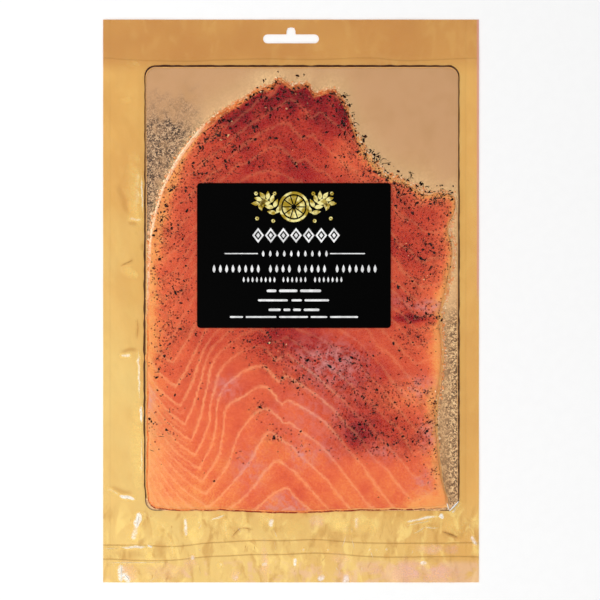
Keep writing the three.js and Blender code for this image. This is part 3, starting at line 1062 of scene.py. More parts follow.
@dataclass(frozen=True)
class CureMap:
    """How the cure, the spice and the membranes have coloured the top slice, and one patch of painted shadow
    by a fold.
    """

    edge: StackEdge
    darker: tuple[Patch, ...] = each(
        Patch,
        ((2, -22), (24, 13), 0.33), ((33, -42), (26, 22), 0.28), ((40, -70), (16, 12), 0.32),
        ((66, -78), (26, 16), 0.3), ((68, 28), (18, 9), 0.17), ((64, -6), (11, 14), 0.15),
        ((9, 71), (12, 9), 0.12), ((33, 86), (11, 14), -0.42), ((66, -50), (15, 9), -0.16),
        ((-74, 78), (12, 22), -0.14), ((68, 62), (16, 9), -0.1), ((46, 68), (12, 10), -0.22),
        ((31, -82), (15, 9), 0.22), ((-46, -20), (12, 8), 0.18), ((-12, -20), (12, 6), 0.15),
        ((38, -77), (8, 6), 0.18), ((57, -42), (9, 5), 0.15), ((52, -58), (10, 6), -0.15),
        ((68, -58), (10, 6), -0.1), ((81, -43), (7, 7), 0.14), ((82, -12), (8, 8), 0.12),
        # The first patch of the next row, at (70, -10), is painted shadow: the shade of a fold in the flesh.
        ((70, -10), (13, 2.4), 0.5), ((24, 99), (8, 8), 0.16), ((24, 115), (8, 4), -0.2),
        ((-48, 78), (9, 14), -0.12), ((41, 80), (8, 10), -0.25), ((-40, 98), (10, 6), -0.18),
        ((5, -108), (12, 7), 0.12),
    )
    membranes: tuple[Patch, ...] = each(
        Patch,
        ((18, -33), (17, 11), 0.75), ((73, -49), (9, 6), 0.8), ((78, -76), (5, 9), 0.9),
        ((76, -103), (6, 6), 0.8), ((-82, -56), (4, 7), 0.9), ((-36, -49), (7, 6), 0.75),
        ((-24, -95), (9, 12), 0.6), ((6, -88), (7, 7), 0.85), ((14, -66), (24, 16), 0.38),
        ((30, -38), (16, 13), 0.5), ((22, -86), (8, 6), 0.4), ((78, -3), (8, 3), 1.3),
        ((60, 0), (5, 4), 0.4), ((52, -86), (9, 6), 0.5),
    )

    def tone(self, x: Array, y: Array) -> Array:
        """Give the depth of the cure, from 0, golden, to 1, crimson.

        Args:
            x, y: Places in mm.

        Returns:
            The tone at each place.
        """
        inset = self.edge.inset(x, y)
        angle, _ = polar(x, y)
        torn = self.edge.torn(angle)
        edge_depth = np.maximum(inset, 0)
        tone = 0.22 + 0.22 * ramp(y, -95, -35) + 0.28 * ramp(y, -30, 95)
        for patch in self.darker:
            tone += patch.share(x, y)
        crimson = ramp(angle, 0.95, 1.25) * ramp(angle, 2, 1.85)
        uneven = 0.75 + 0.45 * Swell(32, 11).at(x, y)
        tone += 0.4 * uneven * crimson * np.exp(-((edge_depth / 13) ** 2))
        slope = ramp(angle, 1.85, 2.1) * ramp(angle, 2.8, 2.5)
        tone -= slope * (0.2 * np.exp(-edge_depth / 8) + 0.4 * np.exp(-edge_depth / 4))
        left = ramp(x, -20, -70) * ramp(y, 90, 60) * (0.6 + 0.4 * ramp(y, -80, -30))
        tone -= left * (0.36 * np.exp(-edge_depth / 12) + 0.38 * np.exp(-edge_depth / 4))
        tone -= 0.7 * np.exp(-edge_depth / 6.5) * ramp(x, 60, 80)
        patchy = np.clip(0.5 + 0.7 * Swell(34, 2.6, 30).at(x, y), 0, 1)
        tone -= 0.75 * np.exp(-edge_depth / 2.6) * ramp(angle, 1.35, 1.05) * torn * patchy
        tone -= 0.5 * np.exp(-edge_depth / 0.9) * torn
        return np.clip(tone + 0.05 * Swell(31, 17).at(x, y), 0, 1)

    def bloom(self, x: Array, y: Array) -> Array:
        """Give the membranes' lilac bloom, from 0 to 1."""
        return np.clip(sum(patch.share(x, y) for patch in self.membranes), 0, 1)


# ---- Salmon slices ----


@dataclass
class SalmonSlice:
    """One of the lower slices, of which the rim shows."""

    layer: Layer
    edge: StackEdge
    base: float
    top: float
    nose: float
    columns: int = 1500
    rim_width: float = 9

    def build(self) -> Piece:
        """Build the slice as one closed body, fine at its rim.

        Returns:
            The piece.
        """
        crown = self.top - self.nose
        rows = [(0, 0, self.top), (0.6, 0, self.top)]
        rows += [(1, -self.rim_width * (1 - i / 8), self.top) for i in range(8)]
        for turn in np.linspace(0.15, math.pi / 2, 5):
            rows.append((1, -0.7 * (1 - math.sin(turn)), self.nose + crown * math.cos(turn)))
        rows += [(1, -0.25, self.base + 0.35), (1, -0.5, self.base), (0, 0, self.base)]
        profile = np.array(rows)
        edge = partial(self.edge.ragged, self.layer)
        piece, x, y, ring = ring_grid(self.layer.value + "_flesh", self.columns, profile[:, :2], edge)
        height = profile[ring, 2]
        sag = 0.12 * Swell(5 + int(self.base), 9).at(x, y) * (height > self.nose)
        place_points(piece, x, y, height - np.abs(sag))
        edit(piece, merge_doubles)
        return piece

    def dress(self) -> None:
        """Build the slice, store its tone, its pale skin with painted light and its crust with a painted
        shadow line, and dress it.
        """
        piece = self.build()
        x, y, z = read_points(piece)
        lowest = self.layer is Layer.BOTTOM
        depth = self.edge.inset(x, y, self.layer)
        angle, _ = polar(x, y)
        # Painted highlight: along the upper-left rim the fat's cream skin is brightened to the white of the
        # film's glint, and on the right rim it is painted light where the rim faces away from the lamps.
        pale = ramp(angle, 1.95, 2.05) * ramp(angle, 3.3, 2.7)
        pale = np.maximum(pale, 0.6 * ramp(x, 66, 80) * ramp(y, 10, 40))
        pale *= (1 if lowest else 0.5) * ramp(depth, 2.2, 1)
        # Painted shadow: a dark line along the bottom slice's lower edge, where it meets the board, stored
        # with the crust.
        foot = ramp(angle, 4.02, 4.1) * ramp(angle, 5.4, 5.3) * ramp(depth, 1.2, 0.5)
        foot *= lowest * ramp(z, self.nose - 0.2, self.nose + 0.1)
        crest = (0.35 if lowest else 0.7) * ramp(angle, 1.15, 1.4) * ramp(angle, 2.1, 1.9)
        # Painted light besides the rim's own golden tone: it grows more golden towards the right, where its
        # sides face away from the lamps.
        tone = np.clip(0.3 + 0.16 * depth - 0.5 * ramp(x, 26, 50), 0, 1)
        write_shares(piece, tone=tone, skin=pale, crust=np.maximum(crest, 3 * foot))
        finish(piece, TrimmedRim(), (self.layer.value,))


@dataclass
class TopSlice:
    """The uppermost slice, with its chevrons, its torn upper edge and its rounded rim."""

    edge: StackEdge
    flakes: FlakePattern
    cure: CureMap
    base: float = 5.5
    nose: float = 6.55
    rim: float = 1.6
    columns: int = 700
    rings_across: int = 112

    def build(self) -> Piece:
        """Build the slice as one closed body.

        Returns:
            The piece.
        """
        turns = np.linspace(0.2, math.pi / 2, 6)
        across = np.linspace(0, 1, self.rings_across)
        inset = [*(self.rim * (1 - np.sin(turns))), 0.15, 0.5]
        rows = [(share, -share * self.rim) for share in across] + [(1, -gap) for gap in inset] + [(0, 0)]
        rise = np.concatenate([np.full(len(across), 2), np.cos(turns), [-0.5, -1, -1]])
        edge = partial(self.edge.ragged, Layer.TOP)
        piece, x, y, ring = ring_grid("salmon_slice_top_flesh", self.columns, np.array(rows), edge)
        surface, share = self.surface(x, y), rise[ring]
        above = self.nose + (surface - 0.06 - self.nose) * np.maximum(share, 0)
        below = self.nose + (self.nose - self.base) * np.minimum(share, 0)
        place_points(piece, x, y, np.where(share > 1, surface, np.where(share >= 0, above, below)))
        edit(piece, merge_doubles)
        return piece

    def surface(self, x: Array, y: Array) -> Array:
        """Give the upper face's height, with the small unevenness of cut and pressed flesh.

        Args:
            x, y: Places in mm.

        Returns:
            The height at each place, in mm.
        """
        angle, _ = polar(x, y)
        torn = self.edge.torn(angle) * np.exp(-np.maximum(self.edge.inset(x, y), 0) / 8)
        level, _ = self.flakes.sample(x, y)
        ridges = 0.03 * np.cos(FULL_TURN * level) * self.flakes.fatness(x, y)
        fine = 0.03 * Swell(51, 6).at(x, y) + 0.09 * torn * Swell(52, 3.5).at(x, y)
        return top_surface(x, y) - ridges + fine

    def dress(self, spice: Callable[[Array, Array], Array]) -> None:
        """Build the slice, store what its finish reads, and dress it.

        Args:
            spice: Gives how thickly the seasoning lies at places, from 0 to 1.
        """
        piece = self.build()
        x, y, _ = read_points(piece)
        level, pitch = self.flakes.sample(x, y)
        wedge = 0.6 * ramp(level, 10, 10.2) * ramp(x, -20, -14) * ramp(x, 13, 8)
        write_shares(
            piece,
            flake=level,
            pitch=pitch,
            fat=self.flakes.fatness(x, y),
            minor=0.55 * ramp(x, -54, -64) * ramp(y, -40, -70),
            tone=self.cure.tone(x, y),
            bloom=np.maximum(self.cure.bloom(x, y), wedge),
            spice=spice(x, y),
        )
        finish(piece, CuredFlesh(), (Layer.TOP.value,))


# ---- Seasoning ----


@dataclass(frozen=True)
class Sprinkle:
    """A patch of seasoning: its middle, its reach and how many bits lie in it."""

    place: Point
    reach: Point
    bits: int
    turn: float = 0


@dataclass(frozen=True)
class EdgeBand:
    """Bits along a stretch of the edge: how far in they reach, and the share that has spilt out."""

    start: float
    end: float
    depth: float
    bits: int
    spill: float = 0


class Bit(Enum):
    """The kinds of bits: each piece's name, a bit's usual size in mm, and its finish."""

    PEPPER = ("cracked_pepper", 0.37, PEPPER)
    LEMON = ("lemon_zest", 0.2, LEMON_ZEST)
    DILL = ("dill_strips", 0.95, DILL)
    CRUMB = ("fatty_crumbs", 0.38, FISH_CRUMBS)


@dataclass
class Seasoning:
    """Cracked pepper, lemon zest and dill strewn on the top slice and spilt by its edge."""

    edge: StackEdge
    nodes: dict[str, Piece]
    seed: int = 227
    label_low: Point = (-54.5, -16.4)
    label_high: Point = (57.9, 68.2)
    pepper_share: float = 0.72
    zest_share: float = 0.07
    sticking: float = 0.45
    squash: tuple[float, float, float] = (1, 0.85, 0.62)
    longest: float = 1.7
    pressed_top: float = 7.97
    sprinkles: tuple[Sprinkle, ...] = each(
        Sprinkle,
        ((-66, 62), (15, 22), 95, -0.5), ((-68, 22), (13, 30), 62), ((-72, -14), (9, 20), 18),
        ((-62, -24), (14, 22), 34), ((-72, -74), (7, 6), 11), ((-66, -50), (12, 14), 7),
        ((-36, 92), (26, 13), 120, 0.6), ((-70, 84), (9, 7), 26, 0.8), ((-14, 84), (26, 14), 90),
        ((12, 76), (30, 9), 30), ((34, 84), (12, 16), 18, -0.8), ((64, 64), (7, 5), 30),
        ((82, 57), (10, 5), 26), ((72, 48), (11, 8), 26), ((72, 29), (11, 7), 48), ((87, 33), (3, 5), 13),
        ((62, 33), (5, 9), 16), ((66, 10), (11, 8), 12), ((67, -1), (5, 4), 14), ((76, -9), (8, 2.4), 50),
        ((72, -20), (13, 8), 26), ((-14, -22), (14, 7), 70), ((-4, -34), (24, 9), 54),
        ((27, -34), (14, 8), 46), ((30, -44), (24, 13), 50), ((44, -56), (14, 8), 46),
        ((38, -72), (14, 9), 92), ((56, -74), (12, 8), 40), ((66, -54), (15, 12), 36),
        ((70, -78), (14, 8), 36), ((82, -66), (5, 12), 22), ((80, -96), (10, 18), 12),
        ((-8, -78.3), (3.2, 2.4), 8), ((-17, -61), (2.4, 3), 7), ((6.3, -82.3), (0.8, 0.8), 2),
        ((21.7, -84.7), (0.8, 0.8), 2), ((-31, -89.2), (1.4, 0.4), 2), ((-80, -84), (1.5, 5), 3),
    )
    bands: tuple[EdgeBand, ...] = each(
        EdgeBand,
        (1.69, 2.05, 6, 270), (1.40, 1.69, 7, 260, 0.05), (1.56, 1.72, 3, 26, 0.9),
        (1.27, 1.40, 5, 170, 0.2), (0.97, 1.27, 3.5, 300, 0.45), (0.66, 0.97, 5, 320, 0.35),
        (0.24, 0.66, 8, 50), (2.05, 2.62, 7, 70), (2.6, 3.5, 4, 10),
    )
    crumb_bands: tuple[EdgeBand, ...] = each(
        EdgeBand,
        (0.1, 0.66, 0.8, 200), (0.66, 1.3, 0.8, 420), (1.3, 1.95, 0.8, 240), (1.95, 2.5, 0.8, 130),
        (2.5, 3.3, 0.8, 380), (5.55, 6.38, 0.8, 260),
    )

    def places(self) -> Pair:
        """Draw the places of all bits, clear of the label and on or by the slice.

        Returns:
            The places' x and y, in mm.
        """
        rng = np.random.default_rng(self.seed)
        found = []
        for patch in self.sprinkles:
            reach = np.sqrt(rng.uniform(0, 1, patch.bits))
            reach *= np.minimum(0.75 + 0.35 * rng.standard_normal(patch.bits) ** 2, 1.8)
            way = rng.uniform(0, FULL_TURN, patch.bits)
            u, v = patch.reach[0] * reach * np.cos(way), patch.reach[1] * reach * np.sin(way)
            x = patch.place[0] + u * math.cos(patch.turn) - v * math.sin(patch.turn)
            y = patch.place[1] + u * math.sin(patch.turn) + v * math.cos(patch.turn)
            found.append(self.clumped(x, y, rng))
        for band in self.bands:
            angle = rng.uniform(band.start, band.end, band.bits)
            inset = rng.exponential(band.depth, band.bits)
            out = rng.uniform(0, 1, band.bits) < band.spill
            inset = np.where(out, -rng.exponential(2.2, band.bits), inset + 0.4)
            x, y = at_polar(angle, self.edge.radius(Layer.BOTTOM, angle) - 1.2 - inset)
            found.append(self.clumped(x, y, rng))
        x, y = np.hstack(found)
        under_label = (x > self.label_low[0]) & (x < self.label_high[0])
        under_label &= (y > self.label_low[1]) & (y < self.label_high[1])
        kept = ~under_label & (self.edge.inset(x, y) > np.where(x < -30, 0.5, -8.5))
        kept &= (y > -116) & (x < 93) & (x > -82)
        return x[kept], y[kept]

    def clumped(self, x: Array, y: Array, rng: np.random.Generator) -> Pair:
        """Let nearly half of the bits stick to the one before, as crushed spice does.

        Args:
            x, y: The bits' places, in mm.
            rng: The stream of random draws.

        Returns:
            The new places.
        """
        sticks = rng.uniform(0, 1, len(x)) < self.sticking
        aside = rng.normal(0, 0.75, (2, len(x)))
        for i in np.flatnonzero(sticks[1:]) + 1:
            x[i], y[i] = x[i - 1] + aside[0, i], y[i - 1] + aside[1, i]
        return x, y

    def fused_places(self) -> Array:
        """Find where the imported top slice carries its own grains.

        Returns:
            The grains' middles, one row of x and y each.
        """
        x, y, z = read_points(self.nodes[Layer.TOP.value])
        high = np.column_stack([x, y])[z > top_surface(x, y) + 0.1]
        middles: list[Array] = []
        while len(high):
            near = np.hypot(*(high - high[0]).T) < 2
            middles.append((high[near].min(0) + high[near].max(0)) / 2)
            high = high[~near]
        return np.array(middles)

    def density(self, x: Array, y: Array) -> Array:
        """Tell how thickly the seasoning lies at places, from 0 to 1."""
        total = sum(blob(x, y, bit, (6.4, 6.4)) for bit in zip(*self.places()))
        return np.clip(0.11 * total, 0, 1)

    def lying_height(self, x: Array, y: Array) -> Array:
        """Give the height of what carries a bit: the top slice, a lower slice's rim or the board.

        Args:
            x, y: Places in mm.

        Returns:
            The height at each place, in mm.
        """
        height = np.full_like(x, BOARD_TOP)
        for layer, top in ((Layer.BOTTOM, 3.5), (Layer.MIDDLE, 5.5), (Layer.TOP, 7.4)):
            inset = self.edge.inset(x, y, layer)
            height = np.where(inset > -0.2, top - 1.1 * ramp(inset, 1.3, -0.2), height)
        return np.where(inset > 1.3, top_surface(x, y), height)

    def crumbs(self, rng: np.random.Generator) -> Pair:
        """Draw the places of the crumbs of fatty flesh along the slices' rims.

        Args:
            rng: The stream of random draws.

        Returns:
            The places' x and y, in mm.
        """
        found = []
        for band in self.crumb_bands:
            angle = rng.uniform(band.start, band.end, band.bits)
            radius = self.edge.radius(Layer.BOTTOM, angle) + rng.normal(0.1, band.depth, band.bits)
            found.append(at_polar(angle, radius))
        x, y = np.hstack(found)
        inside = (x < 95) & (x > -82.5)
        return x[inside], y[inside]

    def strew(self, kind: Bit, x: Array, y: Array, rng: np.random.Generator) -> Piece:
        """Make one joined piece of all bits of a kind.

        Args:
            kind: The kind.
            x, y: The bits' places, in mm.
            rng: The stream of random draws for their sizes and turns.

        Returns:
            The piece.
        """
        name, usual, _ = kind.value
        long = kind is Bit.DILL
        shape, faces = self.strip() if long else self.chunk()
        count, corners = len(x), len(shape)
        size = np.minimum(usual * rng.lognormal(0, 0.45, count), 2.2 if long else 0.9)
        lumps = 0.22 * rng.standard_normal((count, corners, 3))
        if long:
            points = np.repeat(shape[None], count, axis=0)
            points[:, :, 0] *= size[:, None]
            turn = rng.uniform(0, FULL_TURN, count)
            points[:, :, 1] += rng.normal(0, 0.3, count)[:, None] * points[:, :, 0] ** 2 / 2
        else:
            stretch = np.ones((count, 3)) * self.squash
            stretch[:, 0] = rng.uniform(1, self.longest, count)
            points = shape * (1 + lumps) * (stretch * size[:, None])[:, None]
            turn = rng.uniform(0, FULL_TURN, count)
        turned = (points[:, :, 0] + 1j * points[:, :, 1]) * np.exp(1j * turn)[:, None]
        places = turned + (x + 1j * y)[:, None]
        on_slice = self.edge.inset(x, y) > 0
        lying = self.lying_height(x, y) + np.where(on_slice, 0.05, 0.2) * size
        highest = np.where(on_slice, self.pressed_top, FILM_TOP)
        z = np.minimum(lying[:, None] + points[:, :, 2], highest[:, None])
        piece = mesh_piece(name, np.dstack([places.real, places.imag, z]), faces)
        write_shares(piece, shade=np.repeat(rng.uniform(0, 1, count) ** 1.6, corners))
        return piece

    @staticmethod
    def chunk() -> Pair:
        """Give the twenty-sided lump that a crushed corn or a crumb of zest starts from.

        Returns:
            Its points in mm, and its triangles' point numbers, one row each.
        """
        lump = start_piece("lump", bpy.ops.mesh.primitive_ico_sphere_add, subdivisions=1, radius=MM)
        points = read_points(lump).T
        faces = np.array([list(face.vertices) for face in lump.data.polygons])
        bpy.data.objects.remove(lump)
        return points, faces

    @staticmethod
    def strip(length: float = 2.3, width: float = 0.3, height: float = 0.22, taper: float = 0.6) -> Pair:
        """Give a dried dill strip: a four-sided bar in five lengths, tapered to its ends.

        Args:
            length: Its length in mm.
            width: Its width in mm.
            height: Its height in mm.
            taper: How much of its width is lost at its ends, from 0 to 1.

        Returns:
            Its points in mm, and its triangles' point numbers, one row each.
        """
        rings = []
        for share in np.linspace(-1, 1, 6):
            left = 1 - taper * share**2
            half = width / 2 * left
            x = share * length / 2
            rings += [(x, -half, 0), (x, 0, -height / 2), (x, half, 0), (x, 0, height / 2 * left)]
        faces = []
        for ring in range(5):
            for side in range(4):
                a, b = 4 * ring + side, 4 * ring + (side + 1) % 4
                faces += [(a, a + 4, b + 4), (a, b + 4, b)]
        faces += [(0, 1, 2), (0, 2, 3), (20, 22, 21), (20, 23, 22)]
        return np.array(rings), np.array(faces)

    def dress(self) -> None:
        """Strew and dress the three kinds of seasoning and the crumbs."""
        rng = np.random.default_rng(self.seed + 1)
        bits = np.array(self.places())
        draw = rng.uniform(0, 1, bits.shape[1])
        kind = np.searchsorted([self.pepper_share, self.pepper_share + self.zest_share], draw, side="right")
        chosen = {
            Bit.PEPPER: np.hstack([bits[:, kind == 0], self.fused_places().T]),
            Bit.LEMON: bits[:, kind == 1],
            Bit.DILL: bits[:, kind == 2],
        }
        for bit, places in chosen.items():
            finish(self.strew(bit, *places, rng), bit.value[2], (Layer.TOP.value,), 30)
        crumbs = self.strew(Bit.CRUMB, *self.crumbs(rng), rng)
        finish(crumbs, Bit.CRUMB.value[2], (Layer.BOTTOM.value,), 30)


# ---- Card board ----


@dataclass
class CardBoard:
    """The gold card that stiffens the pack, with three round corners and one cut one."""

    edge: StackEdge
    width: float = 179.6
    length: float = 254.4
    centre: Point = (6.3, 7.2)
    corner: float = 6
    cut: float = 5
    base: float = SHEET_TOP
    top: float = BOARD_TOP
    columns: int = 1000
    rings_out: int = 34

    def outside(self, x: Array, y: Array) -> Array:
        """Give how far places lie outside the board's outline.

        Args:
            x, y: Places in mm.

        Returns:
            The distances in mm, negative inside it.
        """
        half_x, half_y = self.width / 2, self.length / 2
        right, up = x - self.centre[0], y - self.centre[1]
        over_x = np.abs(right) - half_x + self.corner
        over_y = np.abs(up) - half_y + self.corner
        rounded = np.hypot(np.maximum(over_x, 0), np.maximum(over_y, 0)) - self.corner
        rounded += np.minimum(np.maximum(over_x, over_y), 0)
        square = np.maximum(np.abs(right) - half_x, np.abs(up) - half_y)
        chamfer = (right - up - half_x - half_y + self.cut) / math.sqrt(2)
        cut_corner = (right > 0) & (up < 0)
        return np.where(cut_corner, np.maximum(square, chamfer), rounded)

    def outlines(self, angle: Array) -> list[Array]:
        """Give where the card starts to be fine, under the slices, and its edge in directions."""
        rim = find_rim(self.outside, angle)
        return [np.minimum(self.edge.radius(Layer.BOTTOM, angle) - 4, rim - 3), rim]

    def build(self) -> Piece:
        """Build the card as one closed plate with a slightly crushed upper edge.

        Returns:
            The piece.
        """
        rows = [(0, 0, 0, 0), (0.5, 0, 0, 0)]
        for share in np.linspace(0, 1, self.rings_out) ** 1.25:
            rows.append((1 - share, share, -0.95 * share, 0))
        thickness = self.top - self.base
        for gap, drop in ((0.7, 0), (0.45, 0), (0.18, 0.05), (0.05, 0.2), (0, 0.45), (0, thickness)):
            rows.append((0, 1, -gap, -drop))
        rows.append((0, 0, 0, -thickness))
        profile = np.array(rows)
        piece, x, y, ring = ring_grid("gold_card_board", self.columns, profile[:, :3], self.outlines)
        place_points(piece, x, y, self.top + profile[ring, 3])
        edit(piece, merge_doubles)
        return piece

    def dress(self) -> None:
        """Build the card, store where it is oily, where painted light and painted wrinkles go and where its
        cut edge shows, and dress it.
        """
        piece = self.build()
        x, y, _ = read_points(piece)
        angle, _ = polar(x, y)
        away = -self.edge.inset(x, y, Layer.BOTTOM)
        near = np.maximum(away, 0)
        # Painted light: beside the torn edge and the right rim, where the slices' shadow falls on the board,
        # the halo is wider and stronger; on the lower left it paints a cream line by the rim. Near the flesh
        # elsewhere it is the oily face's own golden tint.
        lit = np.maximum(self.edge.torn(angle), ramp(x, 50, 70))
        warm = lit * (1 - 0.6 * ramp(y, 20, -20)) * (1 - ramp(angle, 1.9, 2.15))
        halo = np.exp(-near / (1.6 + 4.4 * warm)) * (0.3 + 0.5 * warm)
        halo += 0.8 * np.exp(-near / 3) * ramp(y, 45, 20) * (x < 0)
        halo += 0.35 * np.exp(-near / 9) * ramp(x, 60, 80) * ramp(y, -10, 5)
        halo += 0.4 * blob(x, y, (-14, 127), (7, 5))
        ragged = y + 5 * Swell(22, 9).at(x, y)
        left = 0.3 * ramp(ragged, 124, 108) + 0.7 * ramp(ragged, 106, 99)
        left *= ramp(x, -48, -56)
        right = ramp(y, 8, -18) * (x > 60) * ramp(away, -1, 2.5)
        # Where the painted shade and highlights of the film's coarse wrinkles go.
        fringe = 0.8 * np.maximum(lit, left) * np.exp(-((away / 2.2) ** 2))
        pearl = right * (0.45 + 0.55 * ramp(np.maximum(-self.outside(x, y), 0), 9, 2))
        foot = 1 - 0.75 * ramp(y, -115, -118) * ramp(x, -76, -70) * ramp(x, 87, 84)
        write_shares(
            piece,
            halo=np.clip(halo, 0, 1),
            oily=np.clip(left * (0.9 + 0.4 * Swell(21, 9).at(x, y)), 0, 1),
            pearl=np.clip(np.maximum(pearl, fringe), 0, 1),
            rim=np.clip(1 + self.outside(x, y) / 1.6, 0, 1) * foot,
        )
        finish(piece, GoldCard(), ("gold_board",), 40)


# ---- Hang slot ----


@dataclass(frozen=True)
class HangSlot:
    """The euro slot that is punched through the sheet and the film."""

    length: float = 32
    height: float = 5.2
    centre_y: float = 150
    hump_width: float = 5.2
    hump_top: float = 156.6
    fine_within: float = 2.5
    pulled_within: float = 0.45
    weld: float = 0.05

    def outside(self, x: Array, y: Array) -> Array:
        """Give how far places lie outside the slot.

        Args:
            x, y: Places in mm.

        Returns:
            The distances in mm, negative inside it.
        """
        radius = self.height / 2
        run = np.maximum(np.abs(x) - (self.length / 2 - radius), 0)
        bar = np.hypot(run, y - self.centre_y) - radius
        hump_radius = self.hump_width / 2
        hump_centre = self.hump_top - hump_radius
        rise = np.where(y > hump_centre, y - hump_centre, np.minimum(y - self.centre_y, 0))
        hump = np.hypot(x, rise) - hump_radius
        return np.minimum(bar, hump)

    def punch(self, piece: Piece) -> None:
        """Punch the slot through a piece: make it finer there, cut it and pull its edge smooth.

        Args:
            piece: The piece, of one wall that lies nearly flat round the slot.
        """
        for reach, change in (
            (self.fine_within, partial(bpy.ops.mesh.subdivide, number_cuts=2)),
            (0, partial(bpy.ops.mesh.delete, type="FACE")),
        ):
            edit(piece, select_nothing)
            middles = np.empty(len(piece.data.polygons) * 3, np.float32)
            piece.data.polygons.foreach_get("center", middles)
            x, y, _ = middles.reshape(-1, 3).T / MM
            piece.data.polygons.foreach_set("select", self.outside(x, y) < reach)
            edit(piece, change, whole=False)
        x, y, z = read_points(piece)
        step = 0.02
        for _ in range(4):
            gap = self.outside(x, y)
            slope_x = (self.outside(x + step, y) - gap) / step
            slope_y = (self.outside(x, y + step) - gap) / step
            pull = np.where(gap < self.pulled_within, gap, 0)
            x, y = x - pull * slope_x, y - pull * slope_y
        place_points(piece, x, y, z)
        edit(piece, partial(merge_doubles, self.weld))


# ---- Pouch: back sheet and film ----


@dataclass(frozen=True)
class Fold:
    """A narrow fold of the film: pale where it catches the light, brown where it doesn't."""

    start: Point
    end: Point
    width: float
    glow: float
    blush: float = 0

    def body(self, x: Array, y: Array, rough: Array) -> Array:
        """Give the fold's share at places, fading out to both of its ends.

        Args:
            x, y: Places in mm.
            rough: The places' unevenness.

        Returns:
            The share at each place, from 0 to 1.
        """
        start, end = complex(*self.start), complex(*self.end)
        length = abs(end - start)
        place = (x + 1j * y - start) * (end - start).conjugate() / length
        aside = 0.35 * rough - place.imag
        near_end = ramp(place.real, -0.8, 0.25 * length)
        far_end = ramp(place.real, length + 0.8, 0.75 * length)
        return np.exp(-((aside / self.width) ** 2)) * near_end * far_end


@dataclass(frozen=True)
class Pucker:
    """A wide patch of slack film carrying painted light, brightest at the end that its turn points to."""

    place: Point
    reach: Point
    turn: float
    glow: float
    blush: float = 0

    def body(self, x: Array, y: Array, rough: Array) -> Array:
        """Give the patch's share at places, as a fold gives its own.

        Args:
            x, y: Places in mm.
            rough: The places' unevenness.

        Returns:
            The share at each place, up to about 1.
        """
        place = (x + 1j * y - complex(*self.place)) * np.exp(-1j * self.turn)
        u, v = place.real / self.reach[0], place.imag / self.reach[1]
        whole = ramp(np.hypot(u, v) + 0.25 * rough, 1.4, 0.4)
        return whole * np.clip(0.7 + 0.45 * u, 0.1, 1)


# Left border from the top down, then the foot from left to right.
FOLDS = each(
    Fold,
    ((-100, 68), (-93, 48), 1.6, -0.22), ((-93.5, 47.5), (-84.5, 46), 1.3, 0.4),
    ((-93, 45), (-88, 44), 1.2, -0.3), ((-85.6, 72), (-84.8, 50), 0.7, 0.5),
    ((-97.5, 20), (-90.5, 23.5), 0.9, -0.25), ((-97, -29), (-88, -27.8), 1, -0.4),
    ((-98, -30.6), (-91, -31.4), 1.2, 0.45), ((-87.2, -27), (-86.6, -57), 0.8, 0.5),
    ((-87.9, -10), (-87.9, -22), 0.6, -0.25), ((-85.6, -59), (-85.4, -70), 0.8, 0.7),
    ((-85.6, -76), (-85.2, -100), 0.6, 0.4), ((-104, -106.5), (-90, -111), 1.2, -0.32),
    ((-106.5, -106.5), (-97, -111.5), 1.6, 0.35), ((-98.5, -111.4), (-88.8, -113.4), 1.1, 0.9),
    ((-86.6, -120.5), (-88.6, -130), 1.7, 0.95), ((-88.4, -127), (-90.4, -138), 2.2, 0.5),
    ((-98, -140.9), (-81.5, -140.6), 0.9, 0.55), ((-107, -141.4), (-98, -141.2), 0.8, 0.3),
    ((-82, -139.4), (-79.4, -141), 0.8, 0.7), ((-107, -149.8), (-70, -149.6), 0.8, 0.3),
    ((-79.4, -141.5), (-82, -147.5), 1.2, 0.3), ((-60.5, -122.5), (-60, -136), 1.1, 0.6),
    ((-62.4, -124), (-62.2, -136), 1.2, -0.25), ((-69.5, -135), (-66.6, -147.5), 1, 0.35),
    ((-46, -125.4), (-37.5, -122.2), 0.9, 0.45), ((-37.8, -122.4), (-36.6, -137.6), 2.2, 0.3),
    ((-33.7, -134.9), (-28.6, -129.8), 0.8, -0.32), ((-28.6, -129.8), (-22.3, -130.8), 0.8, -0.28),
    ((-11, -123.6), (-11.6, -130), 1.8, 0.5), ((-97.6, -150.2), (-97.2, -161), 1.5, 0.95),
    ((-96.2, -155.5), (-92.2, -161), 1.7, 0.9), ((-92, -151), (-88, -155.5), 1.3, 0.3, 0.5),
    ((2, -146.6), (2.7, -152), 1.1, 0.65), ((37.5, -122.6), (37.3, -131), 1.5, 0.42, 0.2),
    ((63, -126.8), (86.5, -122.2), 1, 0.5), ((66, -128.6), (81, -125.2), 0.8, 0.35),
    ((70.5, -133), (77, -129), 0.9, 0.35), ((76, -129.2), (84.5, -129.8), 0.9, 0.35),
    ((86.4, -131.9), (95.8, -135.4), 0.9, -0.5), ((85.3, -121.8), (86.8, -124.4), 1, 0.95),
    ((90.2, -120.2), (96.2, -114.2), 2.2, 1), ((90.6, -119.8), (88.8, -114.8), 1.2, 0.9),
    ((103.2, -133.8), (106.4, -140.2), 1.2, 0.6, 0.2),
)
